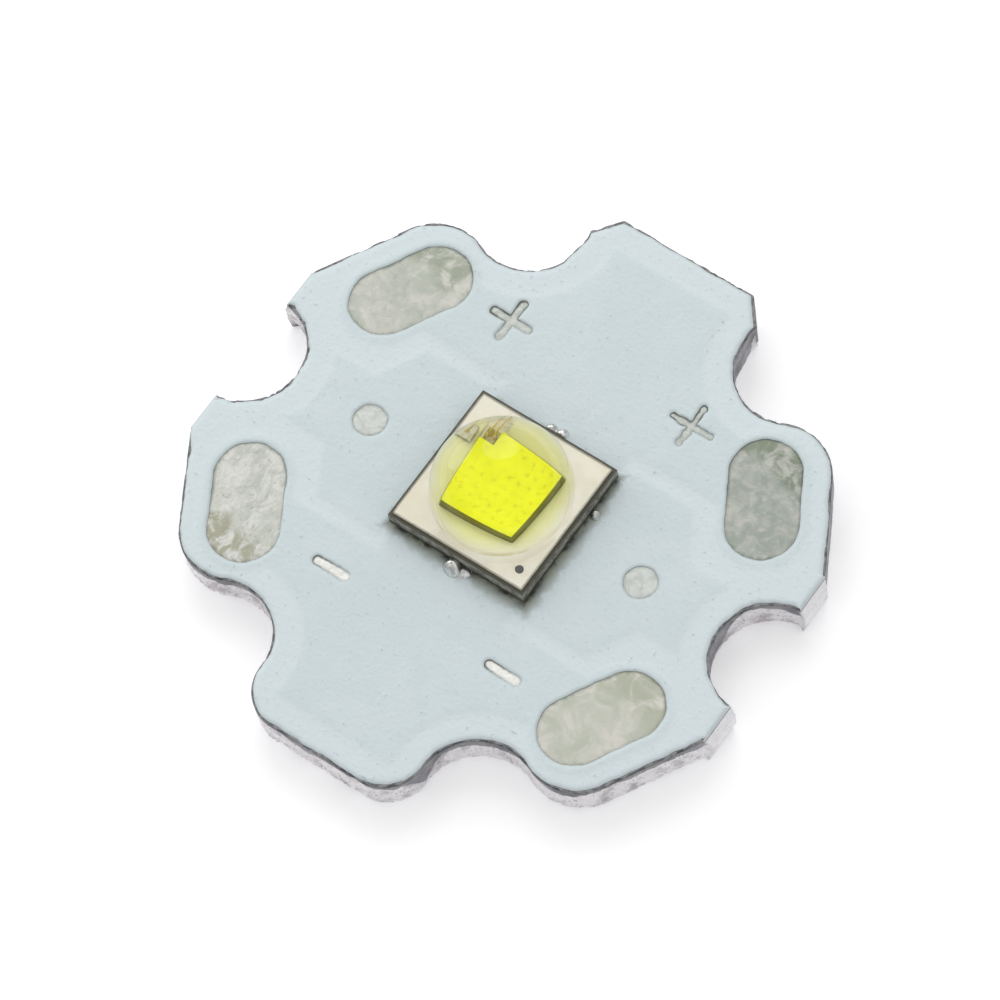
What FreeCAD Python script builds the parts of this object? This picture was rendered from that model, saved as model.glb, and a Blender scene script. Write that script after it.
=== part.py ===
import FreeCAD, Part
import math
import os
import Sketcher
from FreeCAD import Rotation, Vector

# High power LED: a domed white emitter soldered to a six-lobed aluminium board.
# Millimetres. The origin is the middle of the board's underside, +Z points out
# of the light-giving face, and +X runs through the notches at the scored sides.

SIZES = [
    ("across_flats", 20.0, "board, from one lobe's flat to the opposite one"),
    ("scored_width", 19.4, "board's face, between the two sides snapped off along a score line"),
    ("score_reach", 0.15, "how far the broken web stands out beyond the score's edge"),
    ("score_depth", 0.5, "core, how deep the score was cut from above and from below"),
    ("base_thickness", 1.45, "aluminium core"),
    ("lower_edge_bevel", 0.1, "die roll round the core's lower edge"),
    ("dielectric_thickness", 0.08, "insulating layer between core and copper"),
    ("copper_thickness", 0.035, "copper foil"),
    ("mask_over_copper", 0.035, "white solder mask above the copper"),
    ("notch_radius", 1.88, "half-round screw notch"),
    ("notch_circle_radius", 9.89, "from the middle to a notch's centre"),
    ("end_corner_radius", 1.4, "corners of the two lobes on the Y axis"),
    ("side_corner_radius", 1.8, "corners of the four side lobes, away from the score lines"),
    ("copper_setback", 1.0, "from the board's edge to the copper"),
    ("isolation_gap", 0.6, "bare strip between copper areas"),
    ("wire_pad_length", 4.1, "solder pad for a wire, overall"),
    ("wire_pad_width", 2.3, "solder pad for a wire"),
    ("wire_pad_reach", 7.95, "from the middle to a wire pad, along its lobe"),
    ("wire_pad_shift", 0.43, "wire pad's offset across its lobe, away from the X axis"),
    ("pad_ring", 0.2, "copper left round a wire pad under the mask"),
    ("pad_clearance", 0.02, "between a tinned pad and the mask round it"),
    ("tin_thickness", 0.022, "tin on a pad"),
    ("spot_diameter", 1.1, "round test spot"),
    ("spot_reach", 5.1, "from the middle to a round test spot"),
    ("thermal_half_depth", 2.9, "thermal copper, half its depth beside the emitter"),
    ("thermal_flank", 5.0, "thermal copper, where its deep part ends"),
    ("thermal_shoulder", 5.9, "thermal copper, where its slanted sides meet the tabs"),
    ("thermal_tab_half_depth", 1.3, "thermal copper, half the depth of an end tab"),
    ("package_side", 5.05, "emitter's ceramic, each side"),
    ("ceramic_thickness", 0.5, "emitter's ceramic"),
    ("terminal_length", 4.6, "soldered terminals under the ceramic"),
    ("strip_width", 0.5, "anode and cathode terminals"),
    ("strip_inset", 0.15, "from the ceramic's edge to a strip terminal"),
    ("heat_pad_width", 2.78, "middle terminal, which takes the heat away"),
    ("terminal_thickness", 0.04, "terminals under the ceramic"),
    ("solder_thickness", 0.075, "solder between board and terminals"),
    ("bead_radius", 0.18, "solder squeezed out beside the ceramic"),
    ("via_radius", 0.1, "filled hole through the ceramic"),
    ("via_spacing", 2.4, "between filled holes"),
    ("track_side", 4.3, "metal tracks on top of the ceramic, overall"),
    ("track_thickness", 0.03, "metal tracks on top of the ceramic"),
    ("track_gap", 0.2, "between the two metal tracks"),
    ("coating_side", 4.84, "white reflective coating, each side"),
    ("coating_thickness", 0.07, "white reflective coating"),
    ("window_clearance", 0.03, "between the coating and what stands in its windows"),
    ("attach_thickness", 0.02, "metal bond under the chip"),
    ("chip_side", 1.9, "light-giving chip, each side"),
    ("chip_thickness", 0.17, "light-giving chip"),
    ("phosphor_side_coat", 0.05, "phosphor on the chip's sides"),
    ("phosphor_top_coat", 0.08, "phosphor on the chip's top"),
    ("bond_notch", 0.28, "corner of the chip left free of phosphor"),
    ("diode_side", 0.3, "protection diode, each side"),
    ("diode_thickness", 0.12, "protection diode"),
    ("diode_left", 1.27, "from the middle to the diode, towards -X"),
    ("diode_up", 0.66, "from the middle to the diode, towards +Y"),
    ("wire_radius", 0.02, "gold bond wire"),
    ("wire_rise", 0.28, "from a bond wire's start up to its first bend"),
    ("wire_slope", 0.1, "how much lower a bond wire's second bend is"),
    ("wire_span", 0.5, "between the two ends of a wire bonded to the chip"),
    ("wire_pitch", 0.12, "between the chip's two bond wires"),
    ("flange_thickness", 0.06, "silicone sheet round the dome"),
    ("dome_radius", 2.25, "silicone dome"),
    ("dome_neck", 0.08, "upright stretch at the dome's foot"),
]

document = FreeCAD.newDocument("high_power_led")
sheet = document.addObject("Spreadsheet::Sheet", "Sheet")
for row, (alias, value, meaning) in enumerate(SIZES, start=1):
    sheet.set(f"A{row}", alias)
    sheet.set(f"B{row}", str(value))
    sheet.setAlias(f"B{row}", alias)
    sheet.set(f"C{row}", meaning)
document.recompute()


# Levels above the underside, each built on the one below it
DIELECTRIC_Z = "Sheet.base_thickness"
COPPER_Z = f"({DIELECTRIC_Z} + Sheet.dielectric_thickness)"
PAD_Z = f"({COPPER_Z} + Sheet.copper_thickness)"
MASK_TOP_Z = f"({PAD_Z} + Sheet.mask_over_copper)"
TERMINAL_Z = f"({PAD_Z} + Sheet.solder_thickness)"
CERAMIC_Z = f"({TERMINAL_Z} + Sheet.terminal_thickness)"
TRACK_Z = f"({CERAMIC_Z} + Sheet.ceramic_thickness)"
ATTACH_Z = f"({TRACK_Z} + Sheet.track_thickness)"
CHIP_Z = f"({ATTACH_Z} + Sheet.attach_thickness)"
CHIP_TOP_Z = f"({CHIP_Z} + Sheet.chip_thickness)"
FLANGE_Z = f"({TRACK_Z} + Sheet.coating_thickness)"
DOME_Z = f"({FLANGE_Z} + Sheet.flange_thickness)"

# Places and lengths that several pieces share
HALF_PACKAGE = "(Sheet.package_side / 2)"
STRIP_Y = "(Sheet.package_side / 2 - Sheet.strip_inset - Sheet.strip_width / 2)"
LAND_HALF_LENGTH = "(Sheet.terminal_length / 2 + Sheet.pad_clearance)"
STRIP_LAND_NEAR_Y = f"({STRIP_Y} - Sheet.strip_width / 2 - Sheet.pad_clearance)"
HEAT_LAND_HALF = "(Sheet.heat_pad_width / 2 + Sheet.pad_clearance)"
COPPER_EDGE_Y = "(Sheet.thermal_half_depth + Sheet.isolation_gap)"
PHOSPHOR_SIDE = "(Sheet.chip_side + 2 * Sheet.phosphor_side_coat)"
TRACK_SPLIT_Y = f"({PHOSPHOR_SIDE} / 2 + Sheet.window_clearance)"
BOND_X = "(Sheet.chip_side / 2 - Sheet.bond_notch / 2)"
LANDING_Y = f"({BOND_X} + Sheet.wire_span)"

POLES = {"anode": 1, "cathode": -1}
SIDES = {"left": -1, "right": 1}
VIA_COUNT = 2
WIRE_SIDES = 6  # a bond wire's section, near enough round at its size
TOUCHING = 1e-4  # millimetres


def number(expression):
    """The present value of an expression on the sheet."""
    return float(sheet.evalExpression(expression))


def bind(feature, expressions):
    """Tie each named property of a feature to an expression on the sheet."""
    for property_name, expression in expressions.items():
        feature.setExpression(property_name, expression)


def new_body(name):
    body = document.addObject("PartDesign::Body", name)
    body.Label = name
    return body


def origin_feature(body, role):
    return [part for part in body.Origin.OriginFeatures if part.Role == role][0]


def new_sketch(body, name, plane="XY_Plane"):
    sketch = body.newObject("Sketcher::SketchObject", name)
    sketch.AttachmentSupport = (origin_feature(body, plane), "")
    sketch.MapMode = "FlatFace"
    return sketch


def dimension(sketch, expression, kind, *places):
    """Add one sketch dimension that follows the sheet, or pin the point to an axis."""
    if expression == "0":
        axis = {"DistanceX": -2, "DistanceY": -1}[kind]
        sketch.addConstraint(Sketcher.Constraint("PointOnObject", places[-2], places[-1], axis))
        return
    added = sketch.addConstraint(Sketcher.Constraint(kind, *places, number(expression)))
    sketch.setExpression(f"Constraints[{added}]", expression)


def draw_polygon(sketch, corners):
    """A closed outline whose corners are pairs of expressions."""
    points = [Vector(number(x), number(y), 0) for x, y in corners]
    count = len(points)
    for index in range(count):
        line = Part.LineSegment(points[index], points[(index + 1) % count])
        sketch.addGeometry(line, False)
    for index in range(count):
        joint = Sketcher.Constraint("Coincident", index, 2, (index + 1) % count, 1)
        sketch.addConstraint(joint)
    for index, (x, y) in enumerate(corners):
        dimension(sketch, x, "DistanceX", -1, 1, index, 1)
        dimension(sketch, y, "DistanceY", -1, 1, index, 1)


def pad(body, sketch, name, height):
    feature = body.newObject("PartDesign::Pad", name)
    feature.Profile = sketch
    bind(feature, {"Length": height})
    body.Tip = feature
    return feature


def plate(name, length, width, height, z, x="0", y="0"):
    """A flat rectangular piece, centred on x and y, standing on level z."""
    box = document.addObject("Part::Box", name)
    box.Label = name
    bind(box, {
        "Length": length,
        "Width": width,
        "Height": height,
        "Placement.Base.x": f"{x} - ({length}) / 2",
        "Placement.Base.y": f"{y} - ({width}) / 2",
        "Placement.Base.z": z,
    })
    return box


def post(name, radius, height, z, x="0", y="0"):
    """A round upright piece."""
    cylinder = document.addObject("Part::Cylinder", name)
    bind(cylinder, {
        "Radius": radius,
        "Height": height,
        "Placement.Base.x": x,
        "Placement.Base.y": y,
        "Placement.Base.z": z,
    })
    return cylinder


def joined(name, pieces):
    fuse = document.addObject("Part::MultiFuse", name)
    fuse.Label = name
    fuse.Shapes = pieces
    return fuse


def cut(name, base, tool):
    difference = document.addObject("Part::Cut", name)
    difference.Label = name
    difference.Base = base
    difference.Tool = tool
    return difference


# The board's outline: a hexagon with two corners scored off, six half-round
# notches where its corners were, and rounded lobes

def polar(distance, degrees):
    """A point at a distance and an angle from the middle."""
    angle = math.radians(degrees)
    return Vector(distance * math.cos(angle), distance * math.sin(angle), 0)


def arc_about(centre, start, end):
    """An arc about a centre, anticlockwise from start to end."""
    first = math.atan2(start.y - centre.y, start.x - centre.x)
    last = math.atan2(end.y - centre.y, end.x - centre.x)
    if last < first:
        last += 2 * math.pi
    circle = Part.Circle(centre, Vector(0, 0, 1), (start - centre).Length)
    return Part.ArcOfCircle(circle, first, last)


def corner_centre(facing, along, radius, notch_centre):
    """Centre of a corner arc that touches a lobe's flat and, from outside, the notch."""
    depth = number("Sheet.across_flats / 2") - radius
    reach = number("Sheet.notch_radius") + radius
    from_notch = math.sqrt(reach ** 2 - (depth - notch_centre.dot(facing)) ** 2)
    return facing * depth + along * (notch_centre.dot(along) - from_notch)


def draw_board_quarter(sketch, half_width):
    """Half a side notch, half a score line, a side lobe, a notch and half an end lobe."""
    flat = number("Sheet.across_flats / 2")
    side = number(half_width)
    side_radius = number("Sheet.side_corner_radius")
    end_radius = number("Sheet.end_corner_radius")
    notch = polar(number("Sheet.notch_circle_radius"), 60)
    facing, along = polar(1, 30), polar(1, 120)
    side_arc = corner_centre(facing, along, side_radius, notch)
    end_arc = corner_centre(polar(1, 90), polar(1, 0), end_radius, notch)

    side_notch = polar(number("Sheet.notch_circle_radius"), 0)
    notch_radius = number("Sheet.notch_radius")
    notch_bottom = side_notch - Vector(notch_radius, 0, 0)
    score_foot = Vector(side, math.sqrt(notch_radius ** 2 - (side_notch.x - side) ** 2), 0)
    score_end = Vector(side, (flat - side * facing.x) / facing.y, 0)
    side_flat_end = side_arc + facing * side_radius
    notch_start = side_arc + (notch - side_arc).normalize() * side_radius
    notch_end = end_arc + (notch - end_arc).normalize() * end_radius
    end_flat_start = end_arc + Vector(0, end_radius, 0)
    end_flat_middle = Vector(0, flat, 0)
    sketch.addGeometry([
        Part.LineSegment(Vector(), notch_bottom),
        Part.LineSegment(score_foot, score_end),
        Part.LineSegment(score_end, side_flat_end),
        arc_about(side_arc, side_flat_end, notch_start),
        arc_about(notch, notch_end, notch_start),
        arc_about(end_arc, notch_end, end_flat_start),
        Part.LineSegment(end_flat_start, end_flat_middle),
        Part.LineSegment(end_flat_middle, Vector()),
        arc_about(side_notch, score_foot, notch_bottom),
    ], False)
    for sharp in ((-1, 1, 0, 1), (0, 2, 8, 2), (8, 1, 1, 1), (1, 2, 2, 1), (6, 2, 7, 1), (7, 2, 0, 1)):
        sketch.addConstraint(Sketcher.Constraint("Coincident", *sharp))
    for smooth in ((2, 2, 3, 1), (3, 2, 4, 2), (4, 1, 5, 1), (5, 2, 6, 1)):
        sketch.addConstraint(Sketcher.Constraint("Tangent", *smooth))
    for level in (0, 6):
        sketch.addConstraint(Sketcher.Constraint("Horizontal", level))
    for upright in (1, 7):
        sketch.addConstraint(Sketcher.Constraint("Vertical", upright))
    sketch.addConstraint(Sketcher.Constraint("Angle", 2, math.radians(120)))
    dimension(sketch, half_width, "DistanceX", -1, 1, 1, 2)
    dimension(sketch, "Sheet.across_flats / 2", "Distance", -1, 1, 2)
    dimension(sketch, "Sheet.across_flats / 2", "DistanceY", -1, 1, 6, 2)
    dimension(sketch, "Sheet.side_corner_radius", "Radius", 3)
    dimension(sketch, "Sheet.end_corner_radius", "Radius", 5)
    dimension(sketch, "Sheet.notch_radius", "Radius", 4)
    dimension(sketch, "Sheet.notch_circle_radius * cos(60)", "DistanceX", -1, 1, 4, 3)
    dimension(sketch, "Sheet.notch_circle_radius * sin(60)", "DistanceY", -1, 1, 4, 3)
    dimension(sketch, "Sheet.notch_radius", "Radius", 8)
    dimension(sketch, "Sheet.notch_circle_radius", "DistanceX", -1, 1, 8, 3)
    dimension(sketch, "0", "DistanceY", -1, 1, 8, 3)


def mirrored(body, name, plane, originals=()):
    """Mirror the features named, or the whole body so far, in one of its origin planes."""
    document.recompute()
    finished = body.Tip
    mirror = body.newObject("PartDesign::Mirrored", name)
    mirror.BaseFeature = finished
    mirror.MirrorPlane = (origin_feature(body, plane), [""])
    if originals:
        mirror.Originals = originals
    else:
        mirror.TransformMode = "Whole shape"
    body.Tip = mirror


def star_plate(name, height, half_width="Sheet.scored_width / 2"):
    """One layer of the board with the full outline."""
    body = new_body(name)
    quarter = new_sketch(body, name + "_quarter")
    draw_board_quarter(quarter, half_width)
    pad(body, quarter, name + "_lobes", height)
    mirrored(body, name + "_right_half", "XZ_Plane")
    mirrored(body, name + "_star", "YZ_Plane")
    return body


def scored_hexagon(setback):
    """Corners of the outline before its notches, moved inwards by the setback."""
    flat = f"(Sheet.across_flats / 2 - {setback})"
    side = f"(Sheet.scored_width / 2 - {setback})"
    side_y = f"(({flat} - {side} * cos(30)) / sin(30))"
    end_x = f"({flat} * tan(30))"
    return [
        (side, side_y), (end_x, flat), (f"-{end_x}", flat), (f"-{side}", side_y),
        (f"-{side}", f"-{side_y}"), (f"-{end_x}", f"-{flat}"),
        (end_x, f"-{flat}"), (side, f"-{side_y}"),
    ]


def notch_posts(name, turns, height, z):
    """Upright rounds that clear the copper round the notches at the given angles."""
    return [
        post(
            f"{name}_notch_{turn}", "Sheet.notch_radius + Sheet.copper_setback", height, z,
            x=f"Sheet.notch_circle_radius * cos({turn})",
            y=f"Sheet.notch_circle_radius * sin({turn})")
        for turn in turns
    ]


def lower_outline_edges(shape):
    """Names of the edges round the underside."""
    return [
        f"Edge{index}" for index, edge in enumerate(shape.Edges, start=1)
        if edge.BoundBox.ZMax < TOUCHING
    ]


def score_groove(body, name, surface_z, depth_z):
    """The slanted face that a score leaves on the +X side, from a surface to the broken web."""
    document.recompute()
    profile = new_sketch(body, name + "_profile", "XZ_Plane")
    edge = "(Sheet.scored_width / 2)"
    web = f"({edge} + Sheet.score_reach)"
    draw_polygon(profile, [(edge, surface_z), (web, surface_z), (web, depth_z)])
    groove = body.newObject("PartDesign::Pocket", name)
    groove.Profile = profile
    groove.Midplane = True
    bind(groove, {"Length": "Sheet.across_flats"})
    body.Tip = groove
    return groove


def build_base_plate():
    web = "(Sheet.scored_width / 2 + Sheet.score_reach)"
    body = star_plate("base_plate", "Sheet.base_thickness", web)
    document.recompute()
    star = body.Tip
    die_roll = body.newObject("PartDesign::Chamfer", "base_plate_die_roll")
    die_roll.Base = (star, lower_outline_edges(star.Shape))
    bind(die_roll, {"Size": "Sheet.lower_edge_bevel"})
    body.Tip = die_roll
    upper = "(Sheet.base_thickness - Sheet.score_depth)"
    grooves = [
        score_groove(body, "upper_score", "Sheet.base_thickness", upper),
        score_groove(body, "lower_score", "0", "Sheet.score_depth"),
    ]
    mirrored(body, "base_plate_scores", "YZ_Plane", grooves)
    return body


def build_dielectric_layer():
    body = star_plate("dielectric_layer", "Sheet.dielectric_thickness")
    bind(body, {"Placement.Base.z": DIELECTRIC_Z})
    return body


# Wire pads are obrounds that lie along the flats of the side lobes

def obround(name, length, width, height):
    """An obround plate, long way along X, centred on its own origin."""
    body = new_body(name)
    sketch = new_sketch(body, name + "_outline")
    half_straight = f"(({length}) - ({width})) / 2"
    end_radius = f"({width}) / 2"
    reach, radius = number(half_straight), number(end_radius)
    left, right = Vector(-reach, 0, 0), Vector(reach, 0, 0)
    up = Vector(0, radius, 0)
    normal = Vector(0, 0, 1)
    half_turn = math.pi / 2
    sketch.addGeometry([
        Part.ArcOfCircle(Part.Circle(left, normal, radius), half_turn, 3 * half_turn),
        Part.ArcOfCircle(Part.Circle(right, normal, radius), -half_turn, half_turn),
        Part.LineSegment(left + up, right + up),
        Part.LineSegment(left - up, right - up),
    ], False)
    for line_end in ((0, 1, 2, 1), (2, 2, 1, 2), (0, 2, 3, 1), (3, 2, 1, 1)):
        sketch.addConstraint(Sketcher.Constraint("Tangent", *line_end))
    sketch.addConstraint(Sketcher.Constraint("Equal", 0, 1))
    sketch.addConstraint(Sketcher.Constraint("PointOnObject", 0, 3, -1))
    sketch.addConstraint(Sketcher.Constraint("PointOnObject", 1, 3, -1))
    dimension(sketch, half_straight, "DistanceX", -1, 1, 1, 3)
    dimension(sketch, half_straight, "DistanceX", 0, 3, -1, 1)
    dimension(sketch, end_radius, "Radius", 0)
    pad(body, sketch, name + "_pad", height)
    return body


def set_on_lobe(piece, side_x, side_y, z):
    """Turn a wire pad along its lobe's flat and move it onto the lobe."""
    piece.Placement = FreeCAD.Placement(Vector(), Rotation(Vector(0, 0, 1), 90 + 30 * side_x * side_y))
    bind(piece, {
        "Placement.Base.x": f"{side_x} * (Sheet.wire_pad_reach * cos(30) - Sheet.wire_pad_shift * sin(30))",
        "Placement.Base.y": f"{side_y} * (Sheet.wire_pad_reach * sin(30) + Sheet.wire_pad_shift * cos(30))",
        "Placement.Base.z": z,
    })
    return piece


def wire_pad(name, side_x, side_y, grown, height, z):
    """A wire pad's outline, grown or shrunk all round, on one of the four side lobes."""
    length = f"Sheet.wire_pad_length + 2 * ({grown})"
    width = f"Sheet.wire_pad_width + 2 * ({grown})"
    return set_on_lobe(obround(name, length, width, height), side_x, side_y, z)


# Copper foil: anode over the +Y half, cathode over the -Y half, and between
# them the thermal copper, which runs out as a tab towards each scored side

def build_pole_copper(name, side_y):
    """The anode (+1) or cathode (-1) copper, with its tongue under the emitter."""
    board = new_body(name + "_board")
    outline = new_sketch(board, name + "_outline")
    draw_polygon(outline, scored_hexagon("Sheet.copper_setback"))
    pad(board, outline, name + "_plate", "Sheet.copper_thickness")
    bind(board, {"Placement.Base.z": COPPER_Z})
    far_depth = f"(Sheet.across_flats / 2 + {COPPER_EDGE_Y})"
    far_half = plate(
        name + "_far_half", "Sheet.across_flats", far_depth, "Sheet.copper_thickness", COPPER_Z,
        y=f"{side_y} * ({COPPER_EDGE_Y} - {far_depth} / 2)")
    notches = notch_posts(name, range(0, 360, 60), "Sheet.copper_thickness", COPPER_Z)
    foil = cut(name + "_foil", board, joined(name + "_cleared", [far_half] + notches))
    tongue_depth = f"({COPPER_EDGE_Y} - {STRIP_LAND_NEAR_Y})"
    tongue_middle = f"{side_y} * ({COPPER_EDGE_Y} - {tongue_depth} / 2)"
    tongue = plate(
        name + "_tongue", f"2 * {LAND_HALF_LENGTH}", tongue_depth, "Sheet.copper_thickness",
        COPPER_Z, y=tongue_middle)
    rings = [
        wire_pad(
            f"{name}_ring_{side}", side_x, side_y, "Sheet.pad_ring", "Sheet.copper_thickness", COPPER_Z)
        for side, side_x in SIDES.items()
    ]
    return joined(name, [foil, tongue] + rings)


def build_thermal_copper():
    """A cross-shaped island: a waist between the tongues, deep flanks and slanted tabs."""
    island = new_body("thermal_island")
    outline = new_sketch(island, "thermal_outline")
    waist = f"({LAND_HALF_LENGTH} + Sheet.isolation_gap / 2)"
    quarter = [
        ("Sheet.notch_circle_radius", "Sheet.thermal_tab_half_depth"),
        ("Sheet.thermal_shoulder", "Sheet.thermal_tab_half_depth"),
        ("Sheet.thermal_flank", "Sheet.thermal_half_depth"),
        (waist, "Sheet.thermal_half_depth"),
        (waist, HEAT_LAND_HALF),
    ]
    mirrored_x = [(f"-{x}", y) for x, y in reversed(quarter)]
    mirrored_both = [(f"-{x}", f"-{y}") for x, y in quarter]
    mirrored_y = [(x, f"-{y}") for x, y in reversed(quarter)]
    draw_polygon(outline, quarter + mirrored_x + mirrored_both + mirrored_y)
    pad(island, outline, "thermal_plate", "Sheet.copper_thickness")
    bind(island, {"Placement.Base.z": COPPER_Z})
    notches = notch_posts("thermal", (0, 180), "Sheet.copper_thickness", COPPER_Z)
    return cut("thermal_copper", island, joined("thermal_notches", notches))


# Solder mask: covers board and copper, and leaves every soldered place open

def build_solder_mask(coppers):
    body = star_plate("mask_sheet", "Sheet.copper_thickness + Sheet.mask_over_copper")
    bind(body, {"Placement.Base.z": COPPER_Z})
    opening_height = "Sheet.mask_over_copper"
    openings = []
    for pole, side_y in POLES.items():
        for side, side_x in SIDES.items():
            name = f"{pole}_opening_{side}"
            openings.append(wire_pad(name, side_x, side_y, "0", opening_height, PAD_Z))
        openings.append(plate(
            f"{pole}_land_opening", f"2 * {LAND_HALF_LENGTH}",
            "Sheet.strip_width + 2 * Sheet.pad_clearance", opening_height, PAD_Z,
            y=f"{side_y} * {STRIP_Y}"))
    openings.append(plate(
        "heat_land_opening", f"2 * {LAND_HALF_LENGTH}", f"2 * {HEAT_LAND_HALF}",
        opening_height, PAD_Z))
    for side, side_x in SIDES.items():
        openings.append(post(
            f"spot_opening_{side}", "Sheet.spot_diameter / 2", opening_height, PAD_Z,
            x=f"{side_x} * Sheet.spot_reach"))
    return cut("solder_mask", body, joined("mask_cutouts", coppers + openings))


def build_tinned_pads():
    pads = []
    for pole, side_y in POLES.items():
        for side, side_x in SIDES.items():
            name = f"{pole}_wire_pad_{side}"
            pads.append(wire_pad(
                name, side_x, side_y, "-Sheet.pad_clearance", "Sheet.tin_thickness", PAD_Z))
    for side, side_x in SIDES.items():
        spot = post(
            f"test_spot_{side}", "Sheet.spot_diameter / 2 - Sheet.pad_clearance",
            "Sheet.tin_thickness", PAD_Z, x=f"{side_x} * Sheet.spot_reach")
        spot.Label = f"test_spot_{side}"
        pads.append(spot)
    return pads


# Solder joints: a flat joint under each terminal, and a bead squeezed out of it

def solder_bead(name, toward_x, toward_y, joint_edge):
    """Half a ball on the mask beside the ceramic, and the thin neck of solder that feeds it."""
    centre = f"({HALF_PACKAGE} + Sheet.bead_radius)"
    bead = document.addObject("Part::Sphere", name + "_bead")
    bead.Angle1 = 0
    bind(bead, {
        "Radius": "Sheet.bead_radius",
        "Placement.Base.x": f"{toward_x} * {centre}",
        "Placement.Base.y": f"{toward_y} * {centre}",
        "Placement.Base.z": MASK_TOP_Z,
    })
    neck_length = f"({centre} - {joint_edge})"
    neck_middle = f"({joint_edge} + {neck_length} / 2)"
    along_x, along_y = abs(toward_x), abs(toward_y)
    neck = plate(
        name + "_neck",
        f"{along_x} * {neck_length} + {along_y} * Sheet.bead_radius",
        f"{along_y} * {neck_length} + {along_x} * Sheet.bead_radius",
        f"{TERMINAL_Z} - {MASK_TOP_Z}", MASK_TOP_Z,
        x=f"{toward_x} * {neck_middle}", y=f"{toward_y} * {neck_middle}")
    return [bead, neck]


def build_solder_joints():
    joints = []
    strip_edge = f"({STRIP_Y} + Sheet.strip_width / 2)"
    for pole, side_y in POLES.items():
        flat = plate(
            f"{pole}_joint_flat", "Sheet.terminal_length", "Sheet.strip_width",
            "Sheet.solder_thickness", PAD_Z, y=f"{side_y} * {STRIP_Y}")
        bead = solder_bead(f"{pole}_joint", 0, side_y, strip_edge)
        joints.append(joined(f"{pole}_solder_joint", [flat] + bead))
    flat = plate(
        "heat_joint_flat", "Sheet.terminal_length", "Sheet.heat_pad_width",
        "Sheet.solder_thickness", PAD_Z)
    bead = solder_bead("heat_joint", 1, 0, "(Sheet.terminal_length / 2)")
    joints.append(joined("heat_solder_joint", [flat] + bead))
    return joints


# Emitter, from its terminals up

def build_terminals():
    terminals = [
        plate(
            f"{pole}_terminal", "Sheet.terminal_length", "Sheet.strip_width",
            "Sheet.terminal_thickness", TERMINAL_Z, y=f"{side_y} * {STRIP_Y}")
        for pole, side_y in POLES.items()
    ]
    heat_pad = plate(
        "heat_terminal", "Sheet.terminal_length", "Sheet.heat_pad_width",
        "Sheet.terminal_thickness", TERMINAL_Z)
    return terminals + [heat_pad]


def build_vias(pole, side_y):
    """A row of filled holes that joins a strip terminal to the track above it."""
    row = [
        post(
            f"{pole}_via_{index + 1}", "Sheet.via_radius", "Sheet.ceramic_thickness", CERAMIC_Z,
            x=f"{index - (VIA_COUNT - 1) / 2} * Sheet.via_spacing", y=f"{side_y} * {STRIP_Y}")
        for index in range(VIA_COUNT)
    ]
    return joined(f"{pole}_vias", row)


def build_ceramic(vias):
    slab = plate(
        "ceramic_slab", "Sheet.package_side", "Sheet.package_side",
        "Sheet.ceramic_thickness", CERAMIC_Z)
    return cut("ceramic_substrate", slab, joined("via_holes", vias))


def build_tracks():
    """The chip sits on the cathode track, and the anode track runs beyond its +Y edge."""
    edge = "(Sheet.track_side / 2)"
    split = f"({TRACK_SPLIT_Y} + Sheet.track_gap)"
    anode_depth = f"({edge} - {split})"
    cathode_depth = f"({edge} + {TRACK_SPLIT_Y})"
    anode = plate(
        "anode_track", "Sheet.track_side", anode_depth, "Sheet.track_thickness", TRACK_Z,
        y=f"{edge} - {anode_depth} / 2")
    cathode = plate(
        "cathode_track", "Sheet.track_side", cathode_depth, "Sheet.track_thickness", TRACK_Z,
        y=f"{cathode_depth} / 2 - {edge}")
    return [anode, cathode]


def build_chip():
    attach = plate(
        "chip_bond", "Sheet.chip_side", "Sheet.chip_side", "Sheet.attach_thickness", ATTACH_Z)
    chip = plate(
        "led_chip", "Sheet.chip_side", "Sheet.chip_side", "Sheet.chip_thickness", CHIP_Z)
    return attach, chip


def build_phosphor(attach, chip):
    """Phosphor over the chip's top and sides, cut back at the corner with the bond pads."""
    height = f"(Sheet.attach_thickness + Sheet.chip_thickness + Sheet.phosphor_top_coat)"
    block = plate("phosphor_block", PHOSPHOR_SIDE, PHOSPHOR_SIDE, height, ATTACH_Z)
    corner = f"(Sheet.bond_notch + Sheet.phosphor_side_coat)"
    corner_middle = f"({PHOSPHOR_SIDE} / 2 - {corner} / 2)"
    notch = plate(
        "phosphor_corner", corner, corner, height, ATTACH_Z,
        x=f"-{corner_middle}", y=corner_middle)
    return cut("phosphor_layer", block, joined("phosphor_inside", [attach, chip, notch]))


def build_diode():
    return plate(
        "protection_diode", "Sheet.diode_side", "Sheet.diode_side", "Sheet.diode_thickness",
        ATTACH_Z, x="-Sheet.diode_left", y="Sheet.diode_up")


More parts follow.
